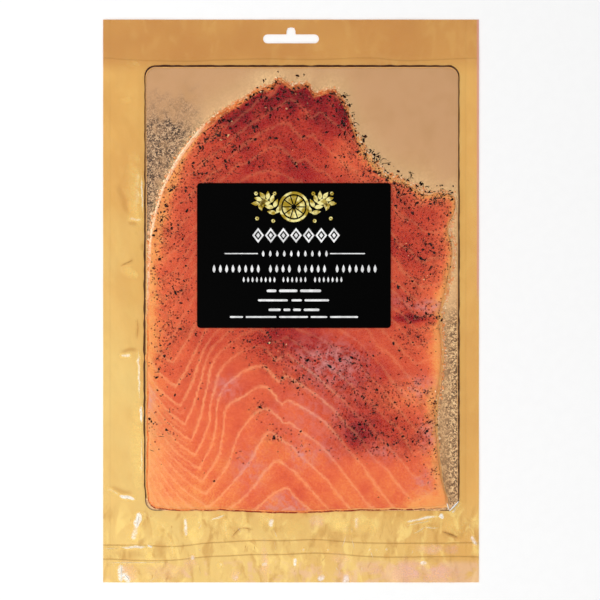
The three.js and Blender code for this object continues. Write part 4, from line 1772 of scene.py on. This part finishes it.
PUCKERS = each(
    Pucker,
    ((-95, 114.6), (4, 1.3), 0.2, 0.22), ((-92, 136), (5, 1.2), -0.1, 0.2),
    ((-90.2, 63), (4.6, 18), 0, 0.34), ((-92.6, 17), (5.2, 2.8), -0.5, 0.3),
    ((-88.4, -80), (4, 24), 0, 0.26), ((-85.4, 31), (1.2, 1.6), 0, -0.4),
    ((-55.5, -129.5), (6.5, 6.5), 3.14, 0.22), ((-76, -129), (7, 5.5), -0.6, 0.16),
    ((-30, -126.5), (6, 3.2), 0.2, 0.16), ((-13.8, -127), (4.8, 4.4), 1.2, 0.34),
    ((0.5, -130), (6, 5), 0.3, 0.16), ((14.5, -126.2), (4.8, 3.6), 0.4, 0.3, 0.8),
    ((27.5, -128.6), (8, 3.8), -0.4, 0.32), ((43.2, -128.2), (5.4, 5), 0, 0.3),
    ((92.6, -128.6), (6.4, 5), -0.8, 0.28), ((-93, -145.4), (6, 2.6), 0, -0.25),
    ((-56.8, -146.8), (1.8, 1.5), 0, 0.55, 0.3), ((-58, -151.6), (3.8, 3.8), 1.5, 0.3, 0.7),
    ((-40.9, -151), (2, 1.4), 0.4, 0.4), ((-32, -156.6), (3, 3), -0.8, 0.5, 0.5),
    ((-15.5, -149.5), (2, 11), 0, 0.34, 0.6), ((-15.6, -151), (1.4, 1.8), 1.5, 0.75, 0.2),
    ((-92.8, -155.5), (5, 6), 3.6, 0.45, 0.6), ((-74, -155), (12, 5.4), 0, 0.2, 0.7),
    ((17.2, -158), (2.6, 2.6), -1.5, 0.75, 0.2), ((31.2, -158.2), (3.8, 2.8), -1.5, 0.8, 0.3),
    ((28.2, -146.5), (3.2, 5.4), -1.5, 0.3, 0.5), ((48, -152.6), (4, 5.2), -1.5, 0.24, 0.8),
    ((65, -154.2), (10, 5.6), 0, 0.36, 0.9), ((87.5, -155.8), (11, 4.6), 3.14, 0.38, 0.85),
    ((75.8, -150.2), (1.6, 2.2), 1.5, 0.7, 0.1), ((78.8, -142), (6.6, 2.6), 0, 0.36, 0.75),
    ((91.2, -142), (4.2, 2.6), 0, 0.24, 0.9),
    *(((x, -142.6), (1.3, 1), 1.5, 0.5) for x in (7.3, 21.2, 45, 49, 54.7)),
)


@dataclass
class Flange:
    """The sealed border of the pouch: gentle ripples shared by the sheet and the film."""

    board: CardBoard
    lift: float = 0.4

    def ripple(self, x: Array, y: Array) -> Array:
        """Give how far the border lifts off the table, in mm, never below it."""
        swell = Swell(91, 46).at(x, y) * 0.6 + Swell(92, 19).at(x, y) * 0.22
        return self.lift * ramp(self.board.outside(x, y), 3, 16) * np.clip(0.42 + swell, 0, 1.2)

    def slack(self, x: Array, y: Array) -> tuple[Array, Array, Array]:
        """Sum up the film's folds and puckers.

        Args:
            x, y: Places in mm.

        Returns:
            The film's rise in mm, its painted highlight (below 0, its painted shade) and its painted pink
            sheen.
        """
        glow, blush = np.zeros_like(x), np.zeros_like(x)
        rough = Swell(61, 6).at(x, y)
        for part in (*PUCKERS, *FOLDS):
            share = part.glow * part.body(x, y, rough)
            stronger = np.abs(share) > np.abs(glow)
            glow, blush = np.where(stronger, share, glow), np.where(stronger, part.blush, blush)
        foot = ramp(y, -119, -126)
        rise = 0.45 * np.abs(glow)
        rise += 0.16 * foot * Swell(95, 13).at(x * 1.6, y * 0.8)
        sides = 0.1 * (1 - foot) * ramp(y, 134, 120) * ramp(x, 30, -30)
        rise += sides * Swell(96, 14).at(x * 1.6, y)
        return rise, glow, blush


@dataclass
class BackSheet:
    """The gold laminate sheet that carries the board, with its hang slot."""

    flange: Flange
    slot: HangSlot
    cell: float = 2

    def build(self) -> Piece:
        """Build the sheet: one wall with ripples and the slot, then its thickness.

        Returns:
            The piece.
        """
        columns, rows = round(PACK_WIDTH / self.cell), round(PACK_LENGTH / self.cell)
        sizes = {"x_subdivisions": columns, "y_subdivisions": rows, "size": 2}
        piece = start_piece("gold_laminate_sheet", bpy.ops.mesh.primitive_grid_add, **sizes)
        x, y, _ = read_points(piece) * MM
        place_points(piece, x * PACK_WIDTH / 2, y * PACK_LENGTH / 2, 0)
        self.slot.punch(piece)
        x, y, _ = read_points(piece)
        place_points(piece, x, y, SHEET_TOP + self.flange.ripple(x, y))
        wall = piece.modifiers.new("wall", "SOLIDIFY")
        wall.thickness = SHEET_TOP * MM
        wall.offset = -1
        bpy.ops.object.modifier_apply(modifier="wall")
        x, y, z = read_points(piece)
        place_points(piece, x, y, np.maximum(z, 0))
        return piece

    def dress(self) -> None:
        """Build the sheet and give it its finish."""
        finish(self.build(), GoldLaminate(), ("gold_back_sheet",), 35)


@dataclass
class Film:
    """The clear film, drawn down over the slices and sealed to the sheet all round."""

    edge: StackEdge
    board: CardBoard
    flange: Flange
    slot: HangSlot
    columns: int = 1160
    rings_over: int = 12
    rings_skirt: int = 26
    rings_border: int = 41
    skirt_near: float = 6
    skirt_far: float = 12
    skirt_widest: float = 1.25 * math.pi
    profile_at: tuple[float, ...] = (-1.5, 0.7, 1.9, 4.6)
    profile_share: tuple[float, ...] = (1, 0.62, 0.33, 0.1)

    @staticmethod
    def outside(x: Array, y: Array) -> Array:
        """Give how far places lie outside the pouch's outline; negative inside it."""
        return np.maximum(np.abs(x) - PACK_WIDTH / 2, np.abs(y) - PACK_LENGTH / 2)

    def height(self, angle: Array, radius: Array) -> Array:
        """Give the film's height.

        Args:
            angle: Directions from the stack's centre.
            radius: The distances from it, in mm.

        Returns:
            The film's height in mm.
        """
        x, y = at_polar(angle, radius)
        out = radius - self.edge.radius(Layer.BOTTOM, angle)
        drop = FILM_TOP - FILM_ON_BOARD
        share = 0.5 + 0.5 * np.cos(angle - self.skirt_widest)
        end = self.skirt_near + (self.skirt_far - self.skirt_near) * share
        folds = Swell(81, 11).at(x, y) * 0.7 + Swell(82, 5).at(x, y) * 0.35
        known = [-3, *self.profile_at]
        levels = [FILM_TOP, *[FILM_ON_BOARD + part * drop for part in self.profile_share]]
        soft = np.mean([np.interp(out + push, known, levels) for push in (-0.8, -0.4, 0, 0.4, 0.8)], axis=0)
        foot = FILM_ON_BOARD + 0.1 * drop
        tail = foot + (FILM_ON_SHEET - foot) * np.clip((out - 4.6) / (end - 4.6), 0, 1)
        skirt = np.where(out > 4.6, np.minimum(tail, soft), soft)
        skirt += 0.42 * folds * ramp(out, 0.5, 3.5) * ramp(out, end + 4, end - 1)
        lying = FILM_ON_SHEET + (FILM_ON_BOARD - FILM_ON_SHEET) * ramp(self.board.outside(x, y), 5, 0.9)
        height = np.maximum(lying, skirt)
        pressed = np.clip(STACK_TOP - top_surface(x, y), 0, 0.35) * ramp(out, -1, -5)
        height -= 0.8 * pressed
        border = ramp(self.board.outside(x, y), 1, 4) * ramp(out, 2, 6)
        height += self.flange.ripple(x, y) + self.flange.slack(x, y)[0] * border
        return np.minimum(height, FILM_TOP)

    def outlines(self, angle: Array) -> list[Array]:
        """Give the slices' edge, the end of the film's fine part and the pouch's edge in directions."""
        flesh, seal = self.edge.radius(Layer.BOTTOM, angle), find_rim(self.outside, angle)
        return [flesh, flesh + np.minimum(17, (seal - flesh) * 0.8), seal]

    def build(self) -> Piece:
        """Build the film as one wall from the stack's middle to the pouch's edge.

        Returns:
            The piece.
        """
        rows = [(i / self.rings_over, 0, 0, -2.2 * i / self.rings_over) for i in range(self.rings_over)]
        for share in (np.arange(self.rings_skirt) / self.rings_skirt) ** 1.35:
            rows.append((1 - share, share, 0, -2.2 * (1 - share)))
        rows += [(0, 1 - share, share, 0) for share in np.linspace(0, 1, self.rings_border)]
        sides = [(sx * PACK_WIDTH / 2, sy * PACK_LENGTH / 2) for sx in (-1, 1) for sy in (-1, 1)]
        corners, _ = polar(*np.transpose(sides))
        piece, x, y, _ = ring_grid("clear_film_pouch", self.columns, np.array(rows), self.outlines, corners)
        place_points(piece, x, y, 0)
        edit(piece, merge_doubles)
        self.slot.punch(piece)
        x, y, _ = read_points(piece)
        place_points(piece, x, y, self.height(*polar(x, y)))
        return piece

    def dress(self) -> None:
        """Build the film, store its painted highlight, painted shade and painted pink sheen and where it is
        wetted, and dress it.
        """
        piece = self.build()
        x, y, _ = read_points(piece)
        rise, glow, blush = self.flange.slack(x, y)
        # Painted light and shade: where the film's slack slopes down towards the lamps at the lower left it
        # is drawn paler, where it slopes up towards them browner.
        step = 0.4
        towards, _, _ = self.flange.slack(x - 0.7 * step, y - 0.7 * step)
        clear_of_board = ramp(self.board.outside(x, y), 0.4, 1.2)
        slope, glow = clear_of_board * (rise - towards) / step, clear_of_board * glow
        out = -self.edge.inset(x, y, Layer.BOTTOM)
        write_shares(
            piece,
            haze=np.clip(1.5 * glow, 0, 0.95) + 0.5 * np.clip(slope, 0, 0.3),
            shade=np.clip(-0.7 * glow + 0.7 * np.clip(-slope, 0, 0.6), 0, 0.8),
            blush=blush,
            cling=ramp(out, 15, 7) * ramp(out, -3, -1),
        )
        finish(piece, ClearFilm(), ("clear_film",), 180)


@dataclass
class CreaseLines:
    """Thin bars of painted glints and shadows: the sharp cores of the film's folds and the fine crinkles of
    the pouch's foot.
    """

    film: Film
    columns: int = 1400
    seed: int = 14
    crinkles: int = 44

    def crinkled(self) -> list[Fold]:
        """Draw the fine crinkles across the foot's seals.

        Returns:
            The crinkles.
        """
        rng = np.random.default_rng(self.seed)
        drawn = []
        for _ in range(self.crinkles):
            x, y = rng.uniform((-103, -159), (103, -121.5))
            turn = rng.normal(math.pi / 2, 0.4)
            length = min(rng.lognormal(1, 0.5), 7)
            end_x = np.clip(x + length * math.cos(turn), -106, 106)
            end_y = max(y - length * math.sin(turn), -160.6)
            glow = rng.uniform(0.1, 0.5) if rng.uniform() < 0.6 else rng.uniform(-0.3, -0.1)
            drawn.append(Fold((x, y), (end_x, end_y), rng.uniform(0.3, 0.6), glow))
        return drawn

    def build(self, name: str, folds: list[Fold]) -> Piece:
        """Build the folds' cores as one joined piece of fine bars that lie on the film.

        Args:
            name: The piece's name.
            folds: The folds.

        Returns:
            The piece.
        """
        shape, faces = Seasoning.strip(2, 1, 1, 0.95)
        along, across, up = shape.T
        bars = []
        for i, fold in enumerate(folds):
            start, end = complex(*fold.start), complex(*fold.end)
            way = (end - start) / 2
            aside = 0.6 * fold.width * across + 0.35 * math.sin(7 * i) * (1 - along**2)
            place = (start + end) / 2 + along * way + 1j * aside * way / abs(way)
            height = self.film.height(*polar(place.real, place.imag)) + 0.05 + 0.12 * up
            bars.append(np.column_stack([place.real, place.imag, height]))
        piece = mesh_piece(name, np.array(bars), faces)
        write_shares(piece, broad=np.repeat([abs(fold.glow) for fold in folds], len(shape)))
        return piece

    def board_line(self, name: str, away: float, widths: tuple[float, float, float]) -> Piece:
        """Build the film's crease round the board as one closed, four-sided ring, to carry a painted shadow
        line or a painted glint.

        Args:
            name: The piece's name.
            away: How far the crease runs outside the board's outline, in mm.
            widths: The crease's width along the left and upper sides, the right and the foot.

        Returns:
            The piece.
        """

        def outlines(angle: Array) -> list[Array]:
            """Give the crease's course, as ring_grid asks for it.

            Args:
                angle: Directions from the stack's centre.

            Returns:
                The distance of its middle and its width, in mm.
            """
            middle = find_rim(self.film.board.outside, angle) + away
            x, y = at_polar(angle, middle)
            middle -= 1.3 * ramp(y, -104, -114) * ramp(x, -60, -72)
            width = np.where(x > 92, widths[1], widths[0]) * (1 + 0.35 * Swell(97, 9).at(x, y))
            width *= 1 + 0.4 * ramp(y, 40, -10) * (x < 0)
            bare = ((y < -116) & (x < 92)) | ((x > 89) & (y < -112.5)) | ((x < 0) & (y < -113.5))
            return [middle, np.where(bare, widths[2], width)]

        rows = np.array([(1, -0.5), (1, 0), (1, 0.5), (1, 0), (1, -0.5)])
        piece, x, y, ring = ring_grid(name, self.columns, rows, outlines)
        rise = 0.06 + np.array([0, 0.12, 0, -0.12, 0])[ring]
        place_points(piece, x, y, self.film.height(*polar(x, y)) + rise)
        edit(piece, merge_doubles, face_outwards)
        write_shares(piece, broad=np.full(len(piece.data.vertices), 0.5))
        return piece

    def dress(self) -> None:
        """Build and dress the creases: painted glints, painted shadows and painted shadow lines."""
        sharp = [fold for fold in FOLDS if fold.width < 1 or fold.glow > 0.8]
        folds = [*sharp, *self.crinkled()]
        for piece, looks in (
            (self.board_line("film_board_crease", 0, (0.95, 0.65, 0.04)), DEEP_CREASE),
            (self.board_line("film_board_glow", -1, (0.55, 0.3, 0.04)), GOLD_CREASE),
            (self.build("film_glints", [fold for fold in folds if fold.glow > 0]), WHITE_CREASE),
            (self.build("film_shadows", [fold for fold in folds if fold.glow <= 0]), OILY_CREASE),
        ):
            finish(piece, looks, ("clear_film",), 180)


# ---- Label ----


@dataclass
class Label:
    """The black label: a plate with rounded corners, a gold ornament and white bars.

    An outline is an array of complex numbers, x + iy in mm, so that a turn is a product.
    """

    width: float = 110.4
    length: float = 82.6
    centre: Point = (1.7, 25.9)
    corner: float = 2
    base: float = FILM_TOP
    thickness: float = 0.3
    ink: float = 0.05
    ornament_y: float = 53.6

    def plate(self) -> Piece:
        """Build the plate: a block with rounded corners and a softened upper edge.

        Returns:
            The piece.
        """
        middle = [v * MM for v in (*self.centre, self.base + self.thickness / 2)]
        piece = start_piece("label_plate", bpy.ops.mesh.primitive_cube_add, size=1, location=middle)
        piece.scale = [v * MM for v in (self.width, self.length, self.thickness)]
        bpy.ops.object.transform_apply(location=True, rotation=True, scale=True)
        top = (self.base + self.thickness) * MM
        self.bevel(piece, self.corner, 8, lambda a, b: abs(a.z - b.z) > 1e-5)
        self.bevel(piece, 0.08, 2, lambda a, b: min(a.z, b.z) > top - 1e-6)
        return piece

    @staticmethod
    def bevel(piece: Piece, size: float, steps: int, wanted: Callable[[Any, Any], bool]) -> None:
        """Round some of a piece's edges.

        Args:
            piece: The piece.
            size: How far the rounding reaches, in mm.
            steps: The rounding's number of faces.
            wanted: Picks an edge by its two ends.
        """
        edit(piece, select_nothing, partial(bpy.ops.mesh.select_mode, type="EDGE"))
        for line in piece.data.edges:
            line.select = wanted(*[piece.data.vertices[i].co for i in line.vertices])
        bevel = partial(bpy.ops.mesh.bevel, offset=size * MM, segments=steps, affect="EDGES")
        edit(piece, bevel, whole=False)

    def flat_shape(self, outline: Array) -> Piece:
        """Print one flat shape on the label.

        Args:
            outline: The shape's corners, anticlockwise.

        Returns:
            The shape, as a thin plate of ink.
        """
        circle = bpy.ops.mesh.primitive_circle_add
        piece = start_piece("ink", circle, vertices=len(outline), radius=1, fill_type="NGON")
        place_points(piece, outline.real, outline.imag, self.base + self.thickness - 0.02)
        lift = {"value": (0, 0, (self.ink + 0.02) * MM)}
        extrude = partial(bpy.ops.mesh.extrude_region_move, TRANSFORM_OT_translate=lift)
        edit(piece, extrude, partial(bpy.ops.mesh.select_all, action="SELECT"), face_outwards)
        return piece

    @staticmethod
    def arc(radius: float, start: float, end: float, corners: int) -> Array:
        """Outline an arc round nothing, between two directions."""
        return radius * np.exp(1j * np.linspace(start, end, corners))

    @staticmethod
    def leaf(root: complex, turn: float, length: float, width: float) -> Array:
        """Outline a pointed leaf.

        Args:
            root: Where it starts.
            turn: Its direction in radians.
            length: Its length in mm.
            width: Its width in mm.

        Returns:
            The outline.
        """
        shares = np.linspace(0, 1, 7)
        side = 0.5j * width * np.sin(math.pi * shares**0.8)
        there, back = length * shares - side, length * shares + side
        return root + np.exp(1j * turn) * np.concatenate([there, back[-2:0:-1]])

    def ring(self, centre: complex, inner: float, outer: float, parts: int, squash: float = 1) -> list[Array]:
        """Outline a ring, or with four parts a hollow lozenge, as a row of flat stretches.

        Args:
            centre: Its middle.
            inner: Its inner radius in mm.
            outer: Its outer radius in mm.
            parts: The number of stretches.
            squash: How wide it is for its height.

        Returns:
            The stretches' outlines.
        """
        turns = self.arc(1, 0, FULL_TURN, parts + 1)
        turns = squash * turns.real + 1j * turns.imag
        pairs = zip(turns, turns[1:])
        return [centre + np.array([outer * a, outer * b, inner * b, inner * a]) for a, b in pairs]

    def ornament_shapes(self) -> list[Array]:
        """Outline the ornament: a cut lemon between two leafy sprigs with berries.

        Returns:
            The outlines.
        """
        middle = complex(self.centre[0], self.ornament_y)
        shapes = self.ring(middle, 7.3, 8.7, 28)
        for i in range(10):
            start, end = (i + 0.08) * FULL_TURN / 10, (i + 0.92) * FULL_TURN / 10
            tip = 1.2 * np.exp(0.5j * (start + end))
            shapes.append(middle + np.append(tip, self.arc(6.4, start, end, 5)))
        return shapes + self.sprig(middle, 1) + self.sprig(middle, -1)

    def sprig(self, middle: complex, side: int) -> list[Array]:
        """Outline one sprig: leaves in pairs along a drooping line, and berries at its ends.

        Args:
            middle: The ornament's middle.
            side: 1 for the right one and -1 for the left one.

        Returns:
            The outlines.
        """
        shapes = []
        for share in (np.arange(7) + 0.3) / 7:
            root = middle + side * (9.4 + 11.5 * share) + 1j * (9.2 * math.sin(share * 2.6) - 4.6)
            heading = math.atan2(9.2 * 2.6 * math.cos(share * 2.6), 11.5)
            for aside in (0.95, -0.95):
                turn = heading + aside if side > 0 else math.pi - heading - aside
                shapes.append(self.leaf(root, turn, 5.6 - 1.2 * share, 2.5))
        for berry in (21.6 + 7.6j, 11 + 7.6j, 11.8 - 8.0j, 21 - 6.6j):
            shapes += self.ring(middle + side * berry.real + 1j * berry.imag, 0.35, 1.15, 6)
        return shapes

    def bar_shapes(self) -> list[Array]:
        """Outline the white marks: a chain of lozenges, and leaves and bars as rows of print.

        Returns:
            The outlines.
        """
        shapes = []
        for i in range(7):
            middle = complex(self.centre[0] - 20.4 + 7.2 * i, 37.4)
            shapes += self.ring(middle, 2.7, 4.3, 4, 0.78)
            shapes.append(middle + np.array([1.1, 1.5j, -1.1, -1.5j]))
        for y, height, width, words in (
            (27, 3.6, 1.5, ((-17.5, 10, 4),)),
            (18.4, 4.6, 1.7, ((-45.5, 8, 3.6), (-13.4, 4, 3.6), (3, 5, 3.6), (24.6, 7, 3.6))),
            (12.2, 3.2, 1.2, ((-28.6, 8, 2.5), (-6, 6, 2.5), (12, 7, 2.5))),
        ):
            for start, count, pitch in words:
                roots = self.centre[0] + start + pitch * np.arange(count) + 1j * (y - height / 2)
                shapes += [self.leaf(root, math.pi / 2, height, width) for root in roots]
        for y, height, stretches in (
            (27, 0.6, ((-39.5, -20.5), (20.5, 40.5))),
            (5.8, 1.5, ((-15.5, -10), (-8.5, 2), (3.5, 15.5))),
            (0.4, 1.2, ((-20.5, -3.5), (-1.5, 4.5), (6, 20))),
            (-5, 1.4, ((-14.5, -7.5), (-6, -2), (-0.5, 4), (5.5, 14.5))),
            (-9.1, 1, ((-36.5, -29), (-27.5, -10), (-8.5, 8), (9.5, 19), (20.5, 36.5))),
        ):
            end_cap = self.arc(height / 2, -math.pi / 2, math.pi / 2, 7)
            for start, end in np.array(stretches) + self.centre[0] + 1j * y:
                shapes.append(np.append(end - height / 2 + end_cap, start + height / 2 - end_cap))
        return shapes

    def print_piece(self, name: str, shapes: list[Array]) -> Piece:
        """Print shapes and join them into one piece.

        Args:
            name: The piece's name.
            shapes: The shapes' outlines.

        Returns:
            The piece.
        """
        pick(*[self.flat_shape(outline) for outline in reversed(shapes)])
        bpy.ops.object.join()
        piece = bpy.context.object
        piece.name = piece.data.name = name
        return piece

    def dress(self) -> None:
        """Build and dress the plate and its print."""
        ornament = self.print_piece("label_ornament", self.ornament_shapes())
        bars = self.print_piece("label_bars", self.bar_shapes())
        finish(self.plate(), LABEL_STOCK, ("label",), 30)
        finish(ornament, GOLD_INK, (), 30)
        finish(bars, WHITE_INK, (), 30)


# ---- Studio ----


@dataclass
class Studio:
    """A white table, soft lights and a long lens straight above the pack."""

    lens: float = 180
    distance: float = 1716
    plane: float = 1.2
    centre: Point = (5.15, 0.57)
    wall_glow: float = 0.3
    ceiling_glow: float = 0.82

    def camera(self) -> None:
        """Hang the camera over the pack, looking straight down."""
        data = bpy.data.cameras.new("copy_camera")
        data.lens = self.lens
        data.sensor_width = 36
        data.clip_start, data.clip_end = 0.05, 20
        camera = bpy.data.objects.new("copy_camera", data)
        camera.location = [v * MM for v in (*self.centre, self.distance + self.plane)]
        bpy.context.scene.collection.objects.link(camera)
        bpy.context.scene.camera = camera

    def table(self) -> None:
        """Lay the white paper under the pack."""
        floor = start_piece("white_table", bpy.ops.mesh.primitive_plane_add, size=6)
        floor.data.materials.append(STUDIO_PAPER.material())

    def lamp(
        self, name: str, place: tuple[float, float, float], size: Point, glow: float, shadow: bool = True
    ) -> None:
        """Add a soft box that faces the pack.

        Args:
            name: The lamp's name.
            place: Where it hangs, in metres.
            size: Its width and height, in metres.
            glow: How bright its face looks, where white paper in full light is 1.
            shadow: Whether it throws shadows.
        """
        data = bpy.data.lights.new(name, "AREA")
        data.shape = "RECTANGLE"
        data.size, data.size_y = size
        data.energy = glow * math.pi * size[0] * size[1]
        data.use_shadow = shadow
        lamp = bpy.data.objects.new(name, data)
        lamp.location = place
        direction = -lamp.location.normalized()
        lamp.rotation_mode = "QUATERNION"
        lamp.rotation_quaternion = direction.to_track_quat("-Z", "Y")
        bpy.context.scene.collection.objects.link(lamp)

    def light(self) -> None:
        """Set the soft boxes and the white room."""
        self.lamp("soft_box_lower_left", (-1.2, -1.3, 1.5), (1.2, 1.2), 2.4)
        self.lamp("strip_upper_left", (-1.15, 0.75, 0.85), (0.9, 0.05), 46, False)
        self.lamp("strip_lower_left", (-0.6, -1.1, 0.9), (0.8, 0.05), 32, False)
        world = bpy.data.worlds.new("white_room")
        world.use_nodes = True
        tree = world.node_tree
        tree.nodes.clear()
        rise = add_node(tree, "SeparateXYZ", {0: add_node(tree, "TexCoord", output="Generated")}, "Z")
        glow = rise.spread(0.35, 0.93, self.wall_glow, self.ceiling_glow)
        room = add_node(tree, "Background", {"Color": "#ffffff", "Strength": glow})
        add_node(tree, "OutputWorld", {"Surface": room})
        bpy.context.scene.world = world
        bpy.context.scene.view_settings.view_transform = "Standard"
        bpy.context.scene.view_settings.exposure = 0.1

    def set_up(self) -> None:
        """Set up the camera, the table and the lights."""
        self.camera()
        self.table()
        self.light()


def main() -> None:
    """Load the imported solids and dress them."""
    logging.basicConfig(level=logging.INFO, format="%(message)s")
    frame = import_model()
    Studio().set_up()
    edge = StackEdge(frame["nodes"])
    board = CardBoard(edge)
    flange = Flange(board)
    slot = HangSlot()
    seasoning = Seasoning(edge, frame["nodes"])
    BackSheet(flange, slot).dress()
    board.dress()
    SalmonSlice(Layer.BOTTOM, edge, base=1.5, top=3.5, nose=2.6).dress()
    SalmonSlice(Layer.MIDDLE, edge, base=3.5, top=5.5, nose=4.6).dress()
    TopSlice(edge, FlakePattern(), CureMap(edge)).dress(seasoning.density)
    seasoning.dress()
    film = Film(edge, board, flange, slot)
    film.dress()
    CreaseLines(film).dress()
    Label().dress()


if __name__ == "__main__":
    main()
